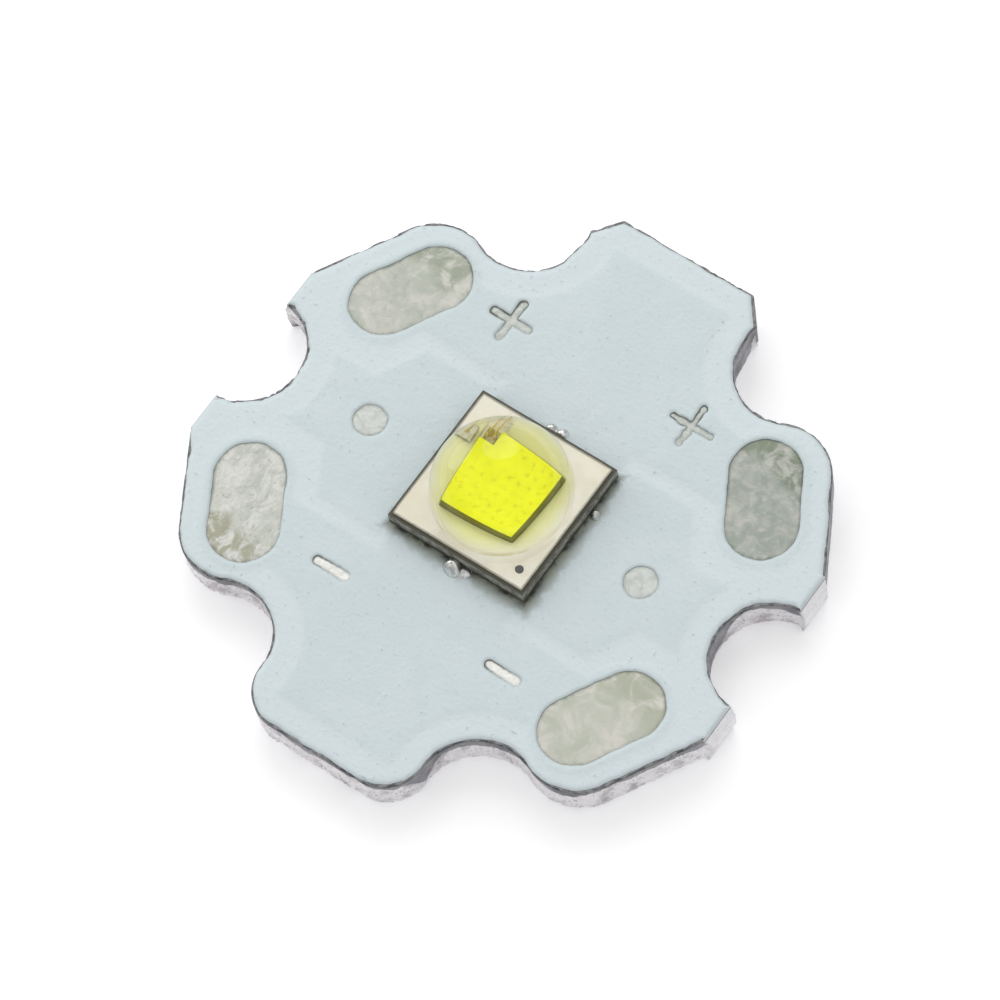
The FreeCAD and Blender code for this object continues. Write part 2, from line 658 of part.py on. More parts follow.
def bond_wire(name, x, start_y, start_z):
    """A gold wire that rises from its start, slopes down towards +Y and drops to the anode track."""
    body = new_body(name)
    route = new_sketch(body, name + "_route", "YZ_Plane")
    first_bend_z = f"({start_z} + Sheet.wire_rise)"
    stops = [
        (start_y, start_z),
        (start_y, first_bend_z),
        (LANDING_Y, f"({first_bend_z} - Sheet.wire_slope)"),
        (LANDING_Y, ATTACH_Z),
    ]
    points = [Vector(number(y), number(z), 0) for y, z in stops]
    for first, last in zip(points, points[1:]):
        route.addGeometry(Part.LineSegment(first, last), False)
    for index in range(len(points) - 2):
        route.addConstraint(Sketcher.Constraint("Coincident", index, 2, index + 1, 1))
    ends = [(0, 1)] + [(index, 2) for index in range(len(points) - 1)]
    for (y, z), end in zip(stops, ends):
        dimension(route, y, "DistanceX", -1, 1, *end)
        dimension(route, z, "DistanceY", -1, 1, *end)
    section = new_sketch(body, name + "_section")
    bind(section, {"AttachmentOffset.Base.z": start_z})
    around = [360 / WIRE_SIDES * (index + 0.5) for index in range(WIRE_SIDES)]
    draw_polygon(section, [
        (f"Sheet.wire_radius * cos({angle})", f"{start_y} + Sheet.wire_radius * sin({angle})")
        for angle in around
    ])
    document.recompute()
    wire = body.newObject("PartDesign::AdditivePipe", name + "_wire")
    wire.Profile = section
    wire.Spine = (route, [f"Edge{index + 1}" for index in range(len(points) - 1)])
    wire.Transition = "Right corner"
    body.Tip = wire
    bind(body, {"Placement.Base.x": x})
    return body


def build_bond_wires():
    wires = [
        bond_wire(name, f"-{BOND_X} + {side} * Sheet.wire_pitch / 2", BOND_X, CHIP_TOP_Z)
        for name, side in (("bond_wire_outer", -1), ("bond_wire_inner", 1))
    ]
    diode_top = f"({ATTACH_Z} + Sheet.diode_thickness)"
    return wires + [bond_wire("diode_wire", "-Sheet.diode_left", "Sheet.diode_up", diode_top)]


def build_windows():
    """Where the white coating stays open: round the chip, the diode and the wires' landings."""
    chip_side = f"({PHOSPHOR_SIDE} + 2 * Sheet.window_clearance)"
    diode_side = "(Sheet.diode_side + 2 * Sheet.window_clearance)"
    margin = "(Sheet.diode_side / 2 + Sheet.window_clearance)"
    landing_left = f"(Sheet.diode_left + {margin})"
    landing_right = f"({BOND_X} - {margin})"
    landing_far = f"({LANDING_Y} + {margin})"
    height = "Sheet.coating_thickness"
    return [
        plate("chip_window", chip_side, chip_side, height, TRACK_Z),
        plate(
            "diode_window", diode_side, diode_side, height, TRACK_Z,
            x="-Sheet.diode_left", y="Sheet.diode_up"),
        plate(
            "landing_window", f"{landing_left} - {landing_right}", f"{landing_far} - {chip_side} / 2",
            height, TRACK_Z,
            x=f"-({landing_left} + {landing_right}) / 2", y=f"({landing_far} + {chip_side} / 2) / 2"),
    ]


def build_coating(tracks, windows):
    """The white layer that hides ceramic and tracks."""
    sheet_of_coating = plate(
        "coating_sheet", "Sheet.coating_side", "Sheet.coating_side",
        "Sheet.coating_thickness", TRACK_Z)
    return cut("white_coating", sheet_of_coating, joined("coating_cutouts", tracks + windows))


def build_dome():
    """Half a ball on a short upright neck, turned about the Z axis."""
    body = new_body("dome")
    sketch = new_sketch(body, "dome_profile", "XZ_Plane")
    radius, neck = number("Sheet.dome_radius"), number("Sheet.dome_neck")
    foot, rim = Vector(radius, 0, 0), Vector(radius, neck, 0)
    centre, apex = Vector(0, neck, 0), Vector(0, neck + radius, 0)
    sketch.addGeometry([
        Part.LineSegment(Vector(), foot),
        Part.LineSegment(foot, rim),
        Part.ArcOfCircle(Part.Circle(centre, Vector(0, 0, 1), radius), 0, math.pi / 2),
        Part.LineSegment(apex, Vector()),
    ], False)
    for index in range(4):
        joint = Sketcher.Constraint("Coincident", index, 2, (index + 1) % 4, 1)
        sketch.addConstraint(joint)
    sketch.addConstraint(Sketcher.Constraint("Coincident", 0, 1, -1, 1))
    sketch.addConstraint(Sketcher.Constraint("Horizontal", 0))
    sketch.addConstraint(Sketcher.Constraint("Vertical", 1))
    sketch.addConstraint(Sketcher.Constraint("Vertical", 3))
    sketch.addConstraint(Sketcher.Constraint("PointOnObject", 2, 3, -2))
    dimension(sketch, "Sheet.dome_radius", "DistanceX", -1, 1, 0, 2)
    dimension(sketch, "Sheet.dome_neck", "DistanceY", -1, 1, 1, 2)
    dimension(sketch, "Sheet.dome_neck", "DistanceY", -1, 1, 2, 3)
    turned = body.newObject("PartDesign::Revolution", "dome_turned")
    turned.Profile = sketch
    turned.ReferenceAxis = (sketch, ["V_Axis"])
    turned.Angle = 360
    body.Tip = turned
    bind(body, {"Placement.Base.z": DOME_Z})
    return body


def build_lens(windows, contents):
    """Clear silicone moulded over everything on the ceramic: sheet, dome and filled windows."""
    flange = plate(
        "lens_flange", "Sheet.coating_side", "Sheet.coating_side",
        "Sheet.flange_thickness", FLANGE_Z)
    moulding = joined("lens_moulding", [flange, build_dome()] + windows)
    return cut("silicone_lens", moulding, joined("lens_contents", contents))


base_plate = build_base_plate()
dielectric_layer = build_dielectric_layer()
coppers = [build_pole_copper(f"{pole}_copper", side_y) for pole, side_y in POLES.items()]
coppers.append(build_thermal_copper())
solder_mask = build_solder_mask(coppers)
tinned_pads = build_tinned_pads()
solder_joints = build_solder_joints()
terminals = build_terminals()
vias = [build_vias(pole, side_y) for pole, side_y in POLES.items()]
ceramic_substrate = build_ceramic(vias)
tracks = build_tracks()
chip_bond, led_chip = build_chip()
phosphor_layer = build_phosphor(chip_bond, led_chip)
protection_diode = build_diode()
bond_wires = build_bond_wires()
windows = build_windows()
white_coating = build_coating(tracks, windows)
encapsulated = tracks + [chip_bond, led_chip, phosphor_layer, protection_diode] + bond_wires
silicone_lens = build_lens(windows, encapsulated)

nodes = [base_plate, dielectric_layer] + coppers + [solder_mask] + tinned_pads
nodes += solder_joints + terminals + vias + [ceramic_substrate, white_coating]
nodes += encapsulated + [silicone_lens]
document.recompute()

failed = [
    part.Label for part in document.Objects
    if "Invalid" in part.State or "Error" in part.State
]
if failed:
    raise RuntimeError("these did not compute: " + ", ".join(failed))
for node in nodes:
    if node.Shape.isNull() or not node.Shape.isValid():
        raise RuntimeError(f"{node.Label} has no valid shape")

os.makedirs("parts", exist_ok=True)
for node in nodes:
    node.Shape.exportStep(f"parts/{node.Label}.step")
    print(f"{node.Label}: {len(node.Shape.Solids)} solid, {node.Shape.Volume:.4f} mm3")
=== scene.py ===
# %% [markdown]
# # A high power LED on its star board
# The real object is a white light emitter, 5 mm square with a clear dome, soldered
# to a thin aluminium board with six lobes. The solid model already holds every part
# at its true size. What follows gives those parts their surfaces, and replaces the
# few whose look depends on more than a clean solid: torn edges, a painted sheet
# that follows the copper under it, hand-tinned pads and the silicone dome.

# %% Load the solid model
import math
import bmesh
import bpy
import numpy as np
from mathutils import Matrix, Vector, geometry, noise


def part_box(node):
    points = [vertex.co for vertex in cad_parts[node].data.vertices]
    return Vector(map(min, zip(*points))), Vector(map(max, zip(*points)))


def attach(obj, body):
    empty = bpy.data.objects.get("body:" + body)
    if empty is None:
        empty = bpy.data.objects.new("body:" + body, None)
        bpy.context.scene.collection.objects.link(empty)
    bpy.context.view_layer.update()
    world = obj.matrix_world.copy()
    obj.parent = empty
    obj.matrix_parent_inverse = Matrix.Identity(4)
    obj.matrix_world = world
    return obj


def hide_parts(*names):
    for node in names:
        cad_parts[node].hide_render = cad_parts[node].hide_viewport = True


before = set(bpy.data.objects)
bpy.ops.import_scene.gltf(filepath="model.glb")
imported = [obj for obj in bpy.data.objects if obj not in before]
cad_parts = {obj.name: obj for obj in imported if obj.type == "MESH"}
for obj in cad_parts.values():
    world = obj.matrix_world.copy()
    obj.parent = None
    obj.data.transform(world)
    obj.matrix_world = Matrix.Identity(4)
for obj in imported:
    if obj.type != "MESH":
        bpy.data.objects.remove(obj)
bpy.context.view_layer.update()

MM = 0.001
print("nodes:", len(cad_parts))

# %% [markdown]
# The photograph was taken with a long lens from about 19 cm, tilted 64 degrees above
# the board. A camera can be placed by eye, or solved from points that can be measured
# on the object. Here it was solved from the board's outline, so the three rows below
# are the picture's right, down and inward directions in the board's own axes.

# %% Camera
RIGHT = Vector((0.81267, 0.57546, -0.09171))
DOWN = Vector((0.48814, -0.75823, -0.43220))
INWARD = Vector((-0.31825, 0.30647, -0.89710))
CAMERA_PLACE = Vector((60.740, -58.666, 173.143)) * MM
PHOTO_FOCAL_PIXELS = 6238.38
PHOTO_WIDTH = 1000
SENSOR_WIDTH = 36.0

lens = bpy.data.cameras.new("photo_lens")
lens.sensor_width = SENSOR_WIDTH
lens.lens = PHOTO_FOCAL_PIXELS * SENSOR_WIDTH / PHOTO_WIDTH
lens.clip_start = 10 * MM
camera = bpy.data.objects.new("photo_camera", lens)
turn = Matrix((RIGHT, -DOWN, -INWARD)).transposed().to_4x4()
camera.matrix_world = Matrix.Translation(CAMERA_PLACE) @ turn
bpy.context.scene.collection.objects.link(camera)
bpy.context.scene.camera = camera
bpy.context.scene.view_settings.view_transform = "Standard"
print("lens", round(lens.lens, 1), "mm")

# %% [markdown]
# Product pictures of small parts are lit by a bright tent and one soft lamp. The
# tent is the world, bright above and a little darker at the horizon, so that metal
# has something to reflect. The lamp stands beyond the top of the picture, where the
# shadows in the photograph point away from. A low window on the left brightens the
# walls that face it and leaves a pale streak on the dome. Together they are set so
# that a colour comes out about as it is written.

# %% World and lamps
LAMP_DIRECTION = Vector((-0.40, 0.62, 0.75)).normalized()
LAMP_DISTANCE = 300 * MM
LAMP_WIDTH = 260 * MM
LAMP_POWER = 0.25
TENT_STRENGTH = 0.75
WINDOW_DIRECTION = Vector((-0.96, 0.07, 0.27)).normalized()
WINDOW_WIDTH = 200 * MM
WINDOW_POWER = 0.16


def shade(red, green, blue):
    """A colour picked from a picture, 0 to 255, as the linear values that Blender works in."""
    return tuple(
        v / 12.92 if v <= 0.04045 else ((v + 0.055) / 1.055) ** 2.4
        for v in (red / 255, green / 255, blue / 255)) + (1.0,)


def build_tent():
    tent = bpy.data.worlds.new("light_tent")
    bpy.context.scene.world = tent
    tent.use_nodes = True
    tree = tent.node_tree
    where = tree.nodes.new("ShaderNodeTexCoord")
    split = tree.nodes.new("ShaderNodeSeparateXYZ")
    ramp = tree.nodes.new("ShaderNodeValToRGB")
    ramp.color_ramp.elements[0].position = 0.0
    ramp.color_ramp.elements[0].color = (0.62, 0.63, 0.65, 1)
    ramp.color_ramp.elements[1].position = 0.6
    ramp.color_ramp.elements[1].color = (1.0, 1.0, 1.0, 1)
    background = tree.nodes["Background"]
    background.inputs["Strength"].default_value = TENT_STRENGTH
    tree.links.new(where.outputs["Generated"], split.inputs["Vector"])
    tree.links.new(split.outputs["Z"], ramp.inputs["Fac"])
    tree.links.new(ramp.outputs["Color"], background.inputs["Color"])
    return tent


def build_lamp(name, direction, width, power):
    light = bpy.data.lights.new(name, "AREA")
    light.shape = "DISK"
    light.size = width
    light.energy = power
    lamp = bpy.data.objects.new(name, light)
    lamp.location = direction * LAMP_DISTANCE
    lamp.rotation_euler = (-direction).to_track_quat("-Z", "Y").to_euler()
    bpy.context.scene.collection.objects.link(lamp)
    return lamp


build_tent()
build_lamp("softbox", LAMP_DIRECTION, LAMP_WIDTH, LAMP_POWER)
build_lamp("window", WINDOW_DIRECTION, WINDOW_WIDTH, WINDOW_POWER)
print("tent", TENT_STRENGTH, "softbox", LAMP_POWER, "W, window", WINDOW_POWER, "W")

# %% [markdown]
# A finish is a small node tree. All of them measure the object in millimetres from
# the board's middle, so a grain size can be written down as it would be measured
# with a loupe. The helper below only saves typing: each call adds one node and
# hands back its output.

# %% A helper for finishes
class Finish:
    """A material while it is being built, with places in millimetres."""

    def __init__(self, name, colour=(0.8, 0.8, 0.8, 1), roughness=0.5, metallic=0.0):
        self.material = bpy.data.materials.new(name)
        self.material.use_nodes = True
        self.tree = self.material.node_tree
        self.shader = self.tree.nodes["Principled BSDF"]
        self.shader.inputs["Base Color"].default_value = colour
        self.shader.inputs["Roughness"].default_value = roughness
        self.shader.inputs["Metallic"].default_value = metallic
        where = self.tree.nodes.new("ShaderNodeTexCoord")
        grow = self.tree.nodes.new("ShaderNodeVectorMath")
        grow.operation = "SCALE"
        grow.inputs["Scale"].default_value = 1 / MM
        self.tree.links.new(where.outputs["Object"], grow.inputs[0])
        self.place = grow.outputs["Vector"]

    def feed(self, socket, value):
        """Wire an output into a socket, or set the socket to a plain value."""
        if isinstance(value, bpy.types.NodeSocket):
            self.tree.links.new(value, socket)
        else:
            socket.default_value = value

    def math(self, operation, first, second=0.0, clamp=False):
        node = self.tree.nodes.new("ShaderNodeMath")
        node.operation = operation
        node.use_clamp = clamp
        self.feed(node.inputs[0], first)
        self.feed(node.inputs[1], second)
        return node.outputs[0]

    def plus(self, first, second, clamp=False):
        return self.math("ADD", first, second, clamp)

    def minus(self, first, second, clamp=False):
        return self.math("SUBTRACT", first, second, clamp)

    def times(self, first, second):
        return self.math("MULTIPLY", first, second)

    def axes(self):
        """The place's three numbers."""
        node = self.tree.nodes.new("ShaderNodeSeparateXYZ")
        self.feed(node.inputs[0], self.place)
        return node.outputs[0], node.outputs[1], node.outputs[2]

    def moved(self, shift=(0, 0, 0), stretch=(1, 1, 1)):
        """The place, shifted to another origin and stretched."""
        node = self.tree.nodes.new("ShaderNodeMapping")
        node.vector_type = "TEXTURE"
        self.feed(node.inputs["Vector"], self.place)
        node.inputs["Location"].default_value = shift
        node.inputs["Scale"].default_value = stretch
        return node.outputs["Vector"]

    def grain(self, size, detail=3.0, roughness=0.55, where=None, distortion=0.0):
        """Soft noise with features of about the given size."""
        node = self.tree.nodes.new("ShaderNodeTexNoise")
        self.feed(node.inputs["Vector"], where or self.place)
        node.inputs["Scale"].default_value = 1 / size
        node.inputs["Detail"].default_value = detail
        node.inputs["Roughness"].default_value = roughness
        node.inputs["Distortion"].default_value = distortion
        return node.outputs["Fac"]

    def cells(self, size, where=None, randomness=1.0):
        """Distance to the nearest cell's middle, for cells of about the given size."""
        node = self.tree.nodes.new("ShaderNodeTexVoronoi")
        self.feed(node.inputs["Vector"], where or self.place)
        node.inputs["Scale"].default_value = 1 / size
        node.inputs["Randomness"].default_value = randomness
        return node.outputs["Distance"]

    def step(self, value, low, high, reverse=False):
        """0 below low, 1 above high, smooth between; the other way round when reversed."""
        node = self.tree.nodes.new("ShaderNodeMapRange")
        node.interpolation_type = "SMOOTHSTEP"
        self.feed(node.inputs["Value"], value)
        node.inputs["From Min"].default_value = low
        node.inputs["From Max"].default_value = high
        node.inputs["To Min"].default_value = 1.0 if reverse else 0.0
        node.inputs["To Max"].default_value = 0.0 if reverse else 1.0
        return node.outputs["Result"]

    def mixed(self, amount, first, second):
        """The first colour where the amount is 0, the second where it is 1."""
        node = self.tree.nodes.new("ShaderNodeMix")
        node.data_type = "RGBA"
        self.feed(node.inputs[0], amount)
        self.feed(node.inputs[6], first)
        self.feed(node.inputs[7], second)
        return node.outputs[2]

    def painted(self, name):
        """A number stored on the mesh's points under this name."""
        node = self.tree.nodes.new("ShaderNodeAttribute")
        node.attribute_name = name
        return node.outputs["Fac"]

    def colour(self, value):
        self.feed(self.shader.inputs["Base Color"], value)

    def roughness(self, value):
        self.feed(self.shader.inputs["Roughness"], value)

    def relief(self, height, depth):
        """Bump of the given depth in millimetres for a height between 0 and 1."""
        node = self.tree.nodes.new("ShaderNodeBump")
        node.inputs["Distance"].default_value = depth * MM
        self.feed(node.inputs["Height"], height)
        self.feed(self.shader.inputs["Normal"], node.outputs["Normal"])


print("finish helper ready")

# %% [markdown]
# The part stands on a sheet of white paper that runs out of the picture. Paper
# that is truly white still renders a little grey, so rays that come straight from
# the camera see it lifted to white. The object's shadow on it stays.

# %% Paper under the part
PAPER_HALF = 600 * MM
PAPER_Z = -0.02 * MM
PAPER_LIFT = 0.26


def build_paper():
    mesh = bpy.data.meshes.new("paper")
    corners = [(-1, -1), (1, -1), (1, 1), (-1, 1)]
    mesh.from_pydata([(x * PAPER_HALF, y * PAPER_HALF, PAPER_Z) for x, y in corners], [], [(0, 1, 2, 3)])
    paper = bpy.data.objects.new("paper", mesh)
    bpy.context.scene.collection.objects.link(paper)
    white = Finish("white_paper", shade(246, 246, 247), roughness=0.9)
    tree = white.tree
    path = tree.nodes.new("ShaderNodeLightPath")
    seen = white.plus(path.outputs["Is Camera Ray"], path.outputs["Is Glossy Ray"])
    seen = white.plus(seen, path.outputs["Is Transmission Ray"], clamp=True)
    lift = white.times(seen, PAPER_LIFT)
    white.shader.inputs["Emission Color"].default_value = (1, 1, 1, 1)
    white.feed(white.shader.inputs["Emission Strength"], lift)
    mesh.materials.append(white.material)
    return paper


build_paper()
print("paper laid")

# %% [markdown]
# Most pieces here start as one closed line: the board's outline, a pad, a sign. The
# outline is worked out from the same few sizes as the solid model, but finely enough
# that its curves stay smooth close up: each corner arc touches a lobe's flat on one
# side and a screw notch on the other. The bare lobe at +Y came out of the die with
# straighter shoulders and with its two corners cut off, so its part of the line is
# reshaped afterwards.

# %% The board's outline
ACROSS_FLATS = 20.0
SCORED_WIDTH = 19.4
NOTCH_RADIUS = 1.88
NOTCH_REACH = 9.89
SIDE_CORNER = 1.8
END_CORNER = 1.4
BARE_LOBE_CORNER = 0.55
OUTLINE_STEP = 0.07
CORNER_SLANT = Vector((0.781, 0.625))
METAL_CORNER = 8.17
BARE_LOBE_START, BARE_LOBE_HALF = 8.0, 3.4
SHOULDER_HALF, SHOULDER_TAPER = 3.25, 0.141
SHOULDER_START, SHOULDER_END, SHOULDER_CORE = 7.7, 9.45, 2.7
LEAST_STEP = 0.008


def heading(degrees):
    return Vector((math.cos(math.radians(degrees)), math.sin(math.radians(degrees))))


def straight(start, end, step=OUTLINE_STEP):
    count = max(1, round((end - start).length / step))
    return [start.lerp(end, index / count) for index in range(count)]


def arc(centre, start, end, clockwise=False, step=OUTLINE_STEP):
    first = math.atan2(start.y - centre.y, start.x - centre.x)
    sweep = (math.atan2(end.y - centre.y, end.x - centre.x) - first) % (2 * math.pi)
    if clockwise:
        sweep -= 2 * math.pi
    radius = (start - centre).length
    count = max(2, round(abs(sweep) * radius / step))
    angles = [first + sweep * index / count for index in range(count)]
    return [centre + radius * Vector((math.cos(a), math.sin(a))) for a in angles]


def corner_middle(facing, along, radius, notch):
    """Middle of the arc that touches a lobe's flat from inside and a notch from outside."""
    depth = ACROSS_FLATS / 2 - radius
    reach = NOTCH_RADIUS + radius
    from_notch = math.sqrt(reach ** 2 - (depth - notch.dot(facing)) ** 2)
    return facing * depth + along * (notch.dot(along) - from_notch)


def outline_quarter(end_corner):
    """From the middle of the notch on +X to the middle of the flat on +Y."""
    side_notch, notch = heading(0) * NOTCH_REACH, heading(60) * NOTCH_REACH
    side = SCORED_WIDTH / 2
    facing = heading(30)
    side_middle = corner_middle(facing, heading(120), SIDE_CORNER, notch)
    end_middle = corner_middle(heading(90), heading(0), end_corner, notch)
    notch_floor = side_notch - Vector((NOTCH_RADIUS, 0))
    score_foot = Vector((side, math.sqrt(NOTCH_RADIUS ** 2 - (side_notch.x - side) ** 2)))
    score_end = Vector((side, (ACROSS_FLATS / 2 - side * facing.x) / facing.y))
    flat_end = side_middle + facing * SIDE_CORNER
    notch_start = side_middle + (notch - side_middle).normalized() * SIDE_CORNER
    notch_end = end_middle + (notch - end_middle).normalized() * end_corner
    end_flat = end_middle + Vector((0, end_corner))
    top = Vector((0, ACROSS_FLATS / 2))
    quarter = arc(side_notch, notch_floor, score_foot, clockwise=True)
    quarter += straight(score_foot, score_end)
    quarter += straight(score_end, flat_end)
    quarter += arc(side_middle, flat_end, notch_start)
    quarter += arc(notch, notch_start, notch_end, clockwise=True)
    quarter += arc(end_middle, notch_end, end_flat)
    return quarter + straight(end_flat, top) + [top]


def outline_half(end_corner):
    quarter = outline_quarter(end_corner)
    return quarter + [Vector((-p.x, p.y)) for p in reversed(quarter[1:-1])]


def cut_corners(line, reach):
    """Cut the bare lobe's two corners off straight, at a distance from the middle along the slant."""
    trimmed = []
    for p in line:
        beyond = CORNER_SLANT.dot(Vector((abs(p.x), p.y))) - reach
        if beyond > 0 and p.y > BARE_LOBE_START and abs(p.x) < BARE_LOBE_HALF:
            p = p - Vector((math.copysign(CORNER_SLANT.x, p.x), CORNER_SLANT.y)) * beyond
        if not trimmed or (p - trimmed[-1]).length > LEAST_STEP:
            trimmed.append(p)
    return trimmed


def broaden_shoulders(line):
    """The bare lobe's sides run nearly straight up to its corners instead of following the notch."""
    broadened = []
    for p in line:
        reach = SHOULDER_HALF - SHOULDER_TAPER * (p.y - SHOULDER_START)
        if SHOULDER_START < p.y < SHOULDER_END and SHOULDER_CORE < abs(p.x) < reach:
            p = Vector((math.copysign(reach, p.x), p.y))
        broadened.append(p)
    return broadened


OUTLINE = outline_half(BARE_LOBE_CORNER) + [Vector((-p.x, -p.y)) for p in outline_half(END_CORNER)]
OUTLINE = cut_corners(broaden_shoulders(OUTLINE), METAL_CORNER)
print("outline points:", len(OUTLINE), "reach", round(max(p.y for p in OUTLINE), 3))

# %% [markdown]
# Some questions come up again and again: how far is this point from that line, and
# is it inside it? They are answered for thousands of points at once with arrays.

# %% Measuring against a closed line
BATCH = 400


def from_line(points, loop):
    """Distance from each point to a closed line, negative inside it."""
    points = np.asarray(points, float).reshape(-1, 2)
    start = np.asarray(loop, float)
    run = np.roll(start, -1, axis=0) - start
    squared = np.maximum((run ** 2).sum(1), 1e-12)
    distances = np.empty(len(points))
    for first in range(0, len(points), BATCH):
        batch = points[first:first + BATCH, None, :]
        offset = batch - start[None]
        along = np.clip((offset * run[None]).sum(2) / squared[None], 0, 1)
        gap = offset - along[..., None] * run[None]
        nearest = np.sqrt((gap ** 2).sum(2).min(1))
        above = start[None, :, 1] > batch[..., 1]
        crosses = above != np.roll(above, -1, axis=1)
        drop = np.where(np.abs(run[:, 1]) < 1e-12, 1e-12, run[:, 1])
        meet = start[None, :, 0] + (batch[..., 1] - start[None, :, 1]) * run[None, :, 0] / drop[None]
        inside = (crosses & (batch[..., 0] < meet)).sum(1) % 2 == 1
        distances[first:first + BATCH] = np.where(inside, -nearest, nearest)
    return distances


def outward(loop):
    """The outward direction at each point of an anticlockwise line."""
    points = np.asarray(loop, float)
    run = np.roll(points, -1, axis=0) - np.roll(points, 1, axis=0)
    run /= np.linalg.norm(run, axis=1)[:, None]
    return np.stack([run[:, 1], -run[:, 0]], axis=1)


def smooth_step(value, low, high):
    t = np.clip((np.asarray(value, float) - low) / (high - low), 0, 1)
    return t * t * (3 - 2 * t)


def wander(x, y, size, seed, octaves=3):
    """Soft noise about zero with features of about the given size, the same on every run."""
    place = Vector((x / size + 17.3 * seed, y / size - 5.1 * seed, 3.7 * seed))
    return noise.fractal(place, 0.9, 2.1, octaves)


def wander_over(points, size, seed, octaves=3):
    """The same soft noise at many places."""
    return np.array([wander(x, y, size, seed, octaves) for x, y in points])


print("middle to outline:", round(float(from_line([(0, 0)], OUTLINE)[0]), 2))

# %% [markdown]
# Every new piece goes through one function, which turns millimetres into metres,
# keeps numbers that a finish needs on the mesh's points, hides the solid that it
# stands for and lets it ride on the object.

# %% Making a piece
def add_piece(name, points, faces, finish, stands_for=(), painted=None, flat_faces=()):
    mesh = bpy.data.meshes.new(name)
    mesh.from_pydata([(x * MM, y * MM, z * MM) for x, y, z in points], [], faces)
    smooth = np.ones(len(mesh.polygons), bool)
    smooth[list(flat_faces)] = False
    mesh.polygons.foreach_set("use_smooth", smooth)
    for label, values in (painted or {}).items():
        layer = mesh.attributes.new(label, "FLOAT", "POINT")
        layer.data.foreach_set("value", np.asarray(values, np.float32))
    mesh.materials.append(finish.material)
    mesh.update()
    piece = bpy.data.objects.new(name, mesh)
    bpy.context.scene.collection.objects.link(piece)
    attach(piece, "root")
    if stands_for:
        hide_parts(*stands_for)
    print(name, len(mesh.polygons), "faces")
    return piece


def filled(loops, holes=(), lattice=None, extra=()):
    """Triangles between closed lines: points (x, y), triangles, and how many points each line gave."""
    points, edges = [], []
    for loop in list(loops) + list(holes):
        first = len(points)
        points += [Vector((p[0], p[1])) for p in loop]
        edges += [(first + i, first + (i + 1) % len(loop)) for i in range(len(loop))]
    edge_count = len(points)
    inner = list(extra)
    if lattice:
        every = np.concatenate([np.asarray(loop, float) for loop in loops])
        (x0, y0), (x1, y1) = every.min(0), every.max(0)
        rows = np.arange(y0, y1, lattice * 0.866)
        inner += [
            (x + (lattice / 2 if index % 2 else 0), y)
            for index, y in enumerate(rows) for x in np.arange(x0, x1, lattice)
        ]
    if inner:
        inner = np.asarray(inner, float)
        keep = np.zeros(len(inner), bool)
        spare = (lattice or 0.1) * 0.4
        for loop in loops:
            keep |= from_line(inner, loop) < -spare
        for hole in holes:
            keep &= from_line(inner, hole) > spare
        points += [Vector(p) for p in inner[keep]]
    points, _, triangles, *_ = geometry.delaunay_2d_cdt(points, edges, [], 0, 1e-7)
    points = np.array([tuple(p) for p in points])
    triangles = np.array(triangles)
    middles = points[triangles].mean(1)
    keep = np.zeros(len(triangles), bool)
    for loop in loops:
        keep |= from_line(middles, loop) < 0
    for hole in holes:
        keep &= from_line(middles, hole) > 0
    triangles = triangles[keep]
    a, b, c = points[triangles[:, 0]], points[triangles[:, 1]], points[triangles[:, 2]]
    turned = (b[:, 0] - a[:, 0]) * (c[:, 1] - a[:, 1]) - (b[:, 1] - a[:, 1]) * (c[:, 0] - a[:, 0]) < 0
    triangles[turned] = triangles[turned][:, ::-1]
    return points, triangles.tolist(), edge_count


def ring_faces(first, second, count):
    """Four-sided faces between two rings of points that start at these numbers."""
    return [(first + i, first + (i + 1) % count, second + (i + 1) % count, second + i) for i in range(count)]


def tip_faces(ring, tip, count):
    """Triangles between a ring of points and a single point."""
    return [(ring + i, ring + (i + 1) % count, tip) for i in range(count)]


print("piece helpers ready")

# %% [markdown]
# ## The aluminium core
# The core's edge tells how the board was made. A punch first shears the metal, which
# leaves a smooth band under the white face, painted dark grey in place of the dark
# surroundings it mirrors, and then the rest tears off, bright and ragged, with a rolled
# lower rim. The walls between +X and +Y get little light, so there the dark band is
# drawn further down as painted shade. The two sides on the X axis were snapped off
# along a score line instead, so they show a slanted cut, a broken web and a second
# slant. A bump map can't change the lower border, so the wall is a real grid of points:
# one column for each point of the outline, pushed in and out by noise.

# %% Shape of the core's wall
CORE_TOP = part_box("base_plate")[1].z / MM
SCORE_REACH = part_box("base_plate")[1].x / MM - SCORED_WIDTH / 2
SCORE_DEPTH = 0.5
SHEAR_DEPTH = 0.24
WALL_ROWS = 22
WALL_GAP = 0.012
TORN_GAP = 0.02
TEAR_DEPTH = 0.10
ROLL_DEPTH = 0.16
ROLL_HEIGHT = 0.32
CONTACT_INSET = 0.3
SHADED_WALL_SIDE = heading(33)
SHADED_WALL_DEPTH = 0.8
SNAP_MIDDLE, SNAP_HALF, SNAP_SLIDE = 2.53, 0.67, 0.13


def scored_amount(p):
    """1 on the two snapped sides, 0 elsewhere on the outline."""
    return 1.0 if abs(abs(p.x) - SCORED_WIDTH / 2) < 1e-4 else 0.0


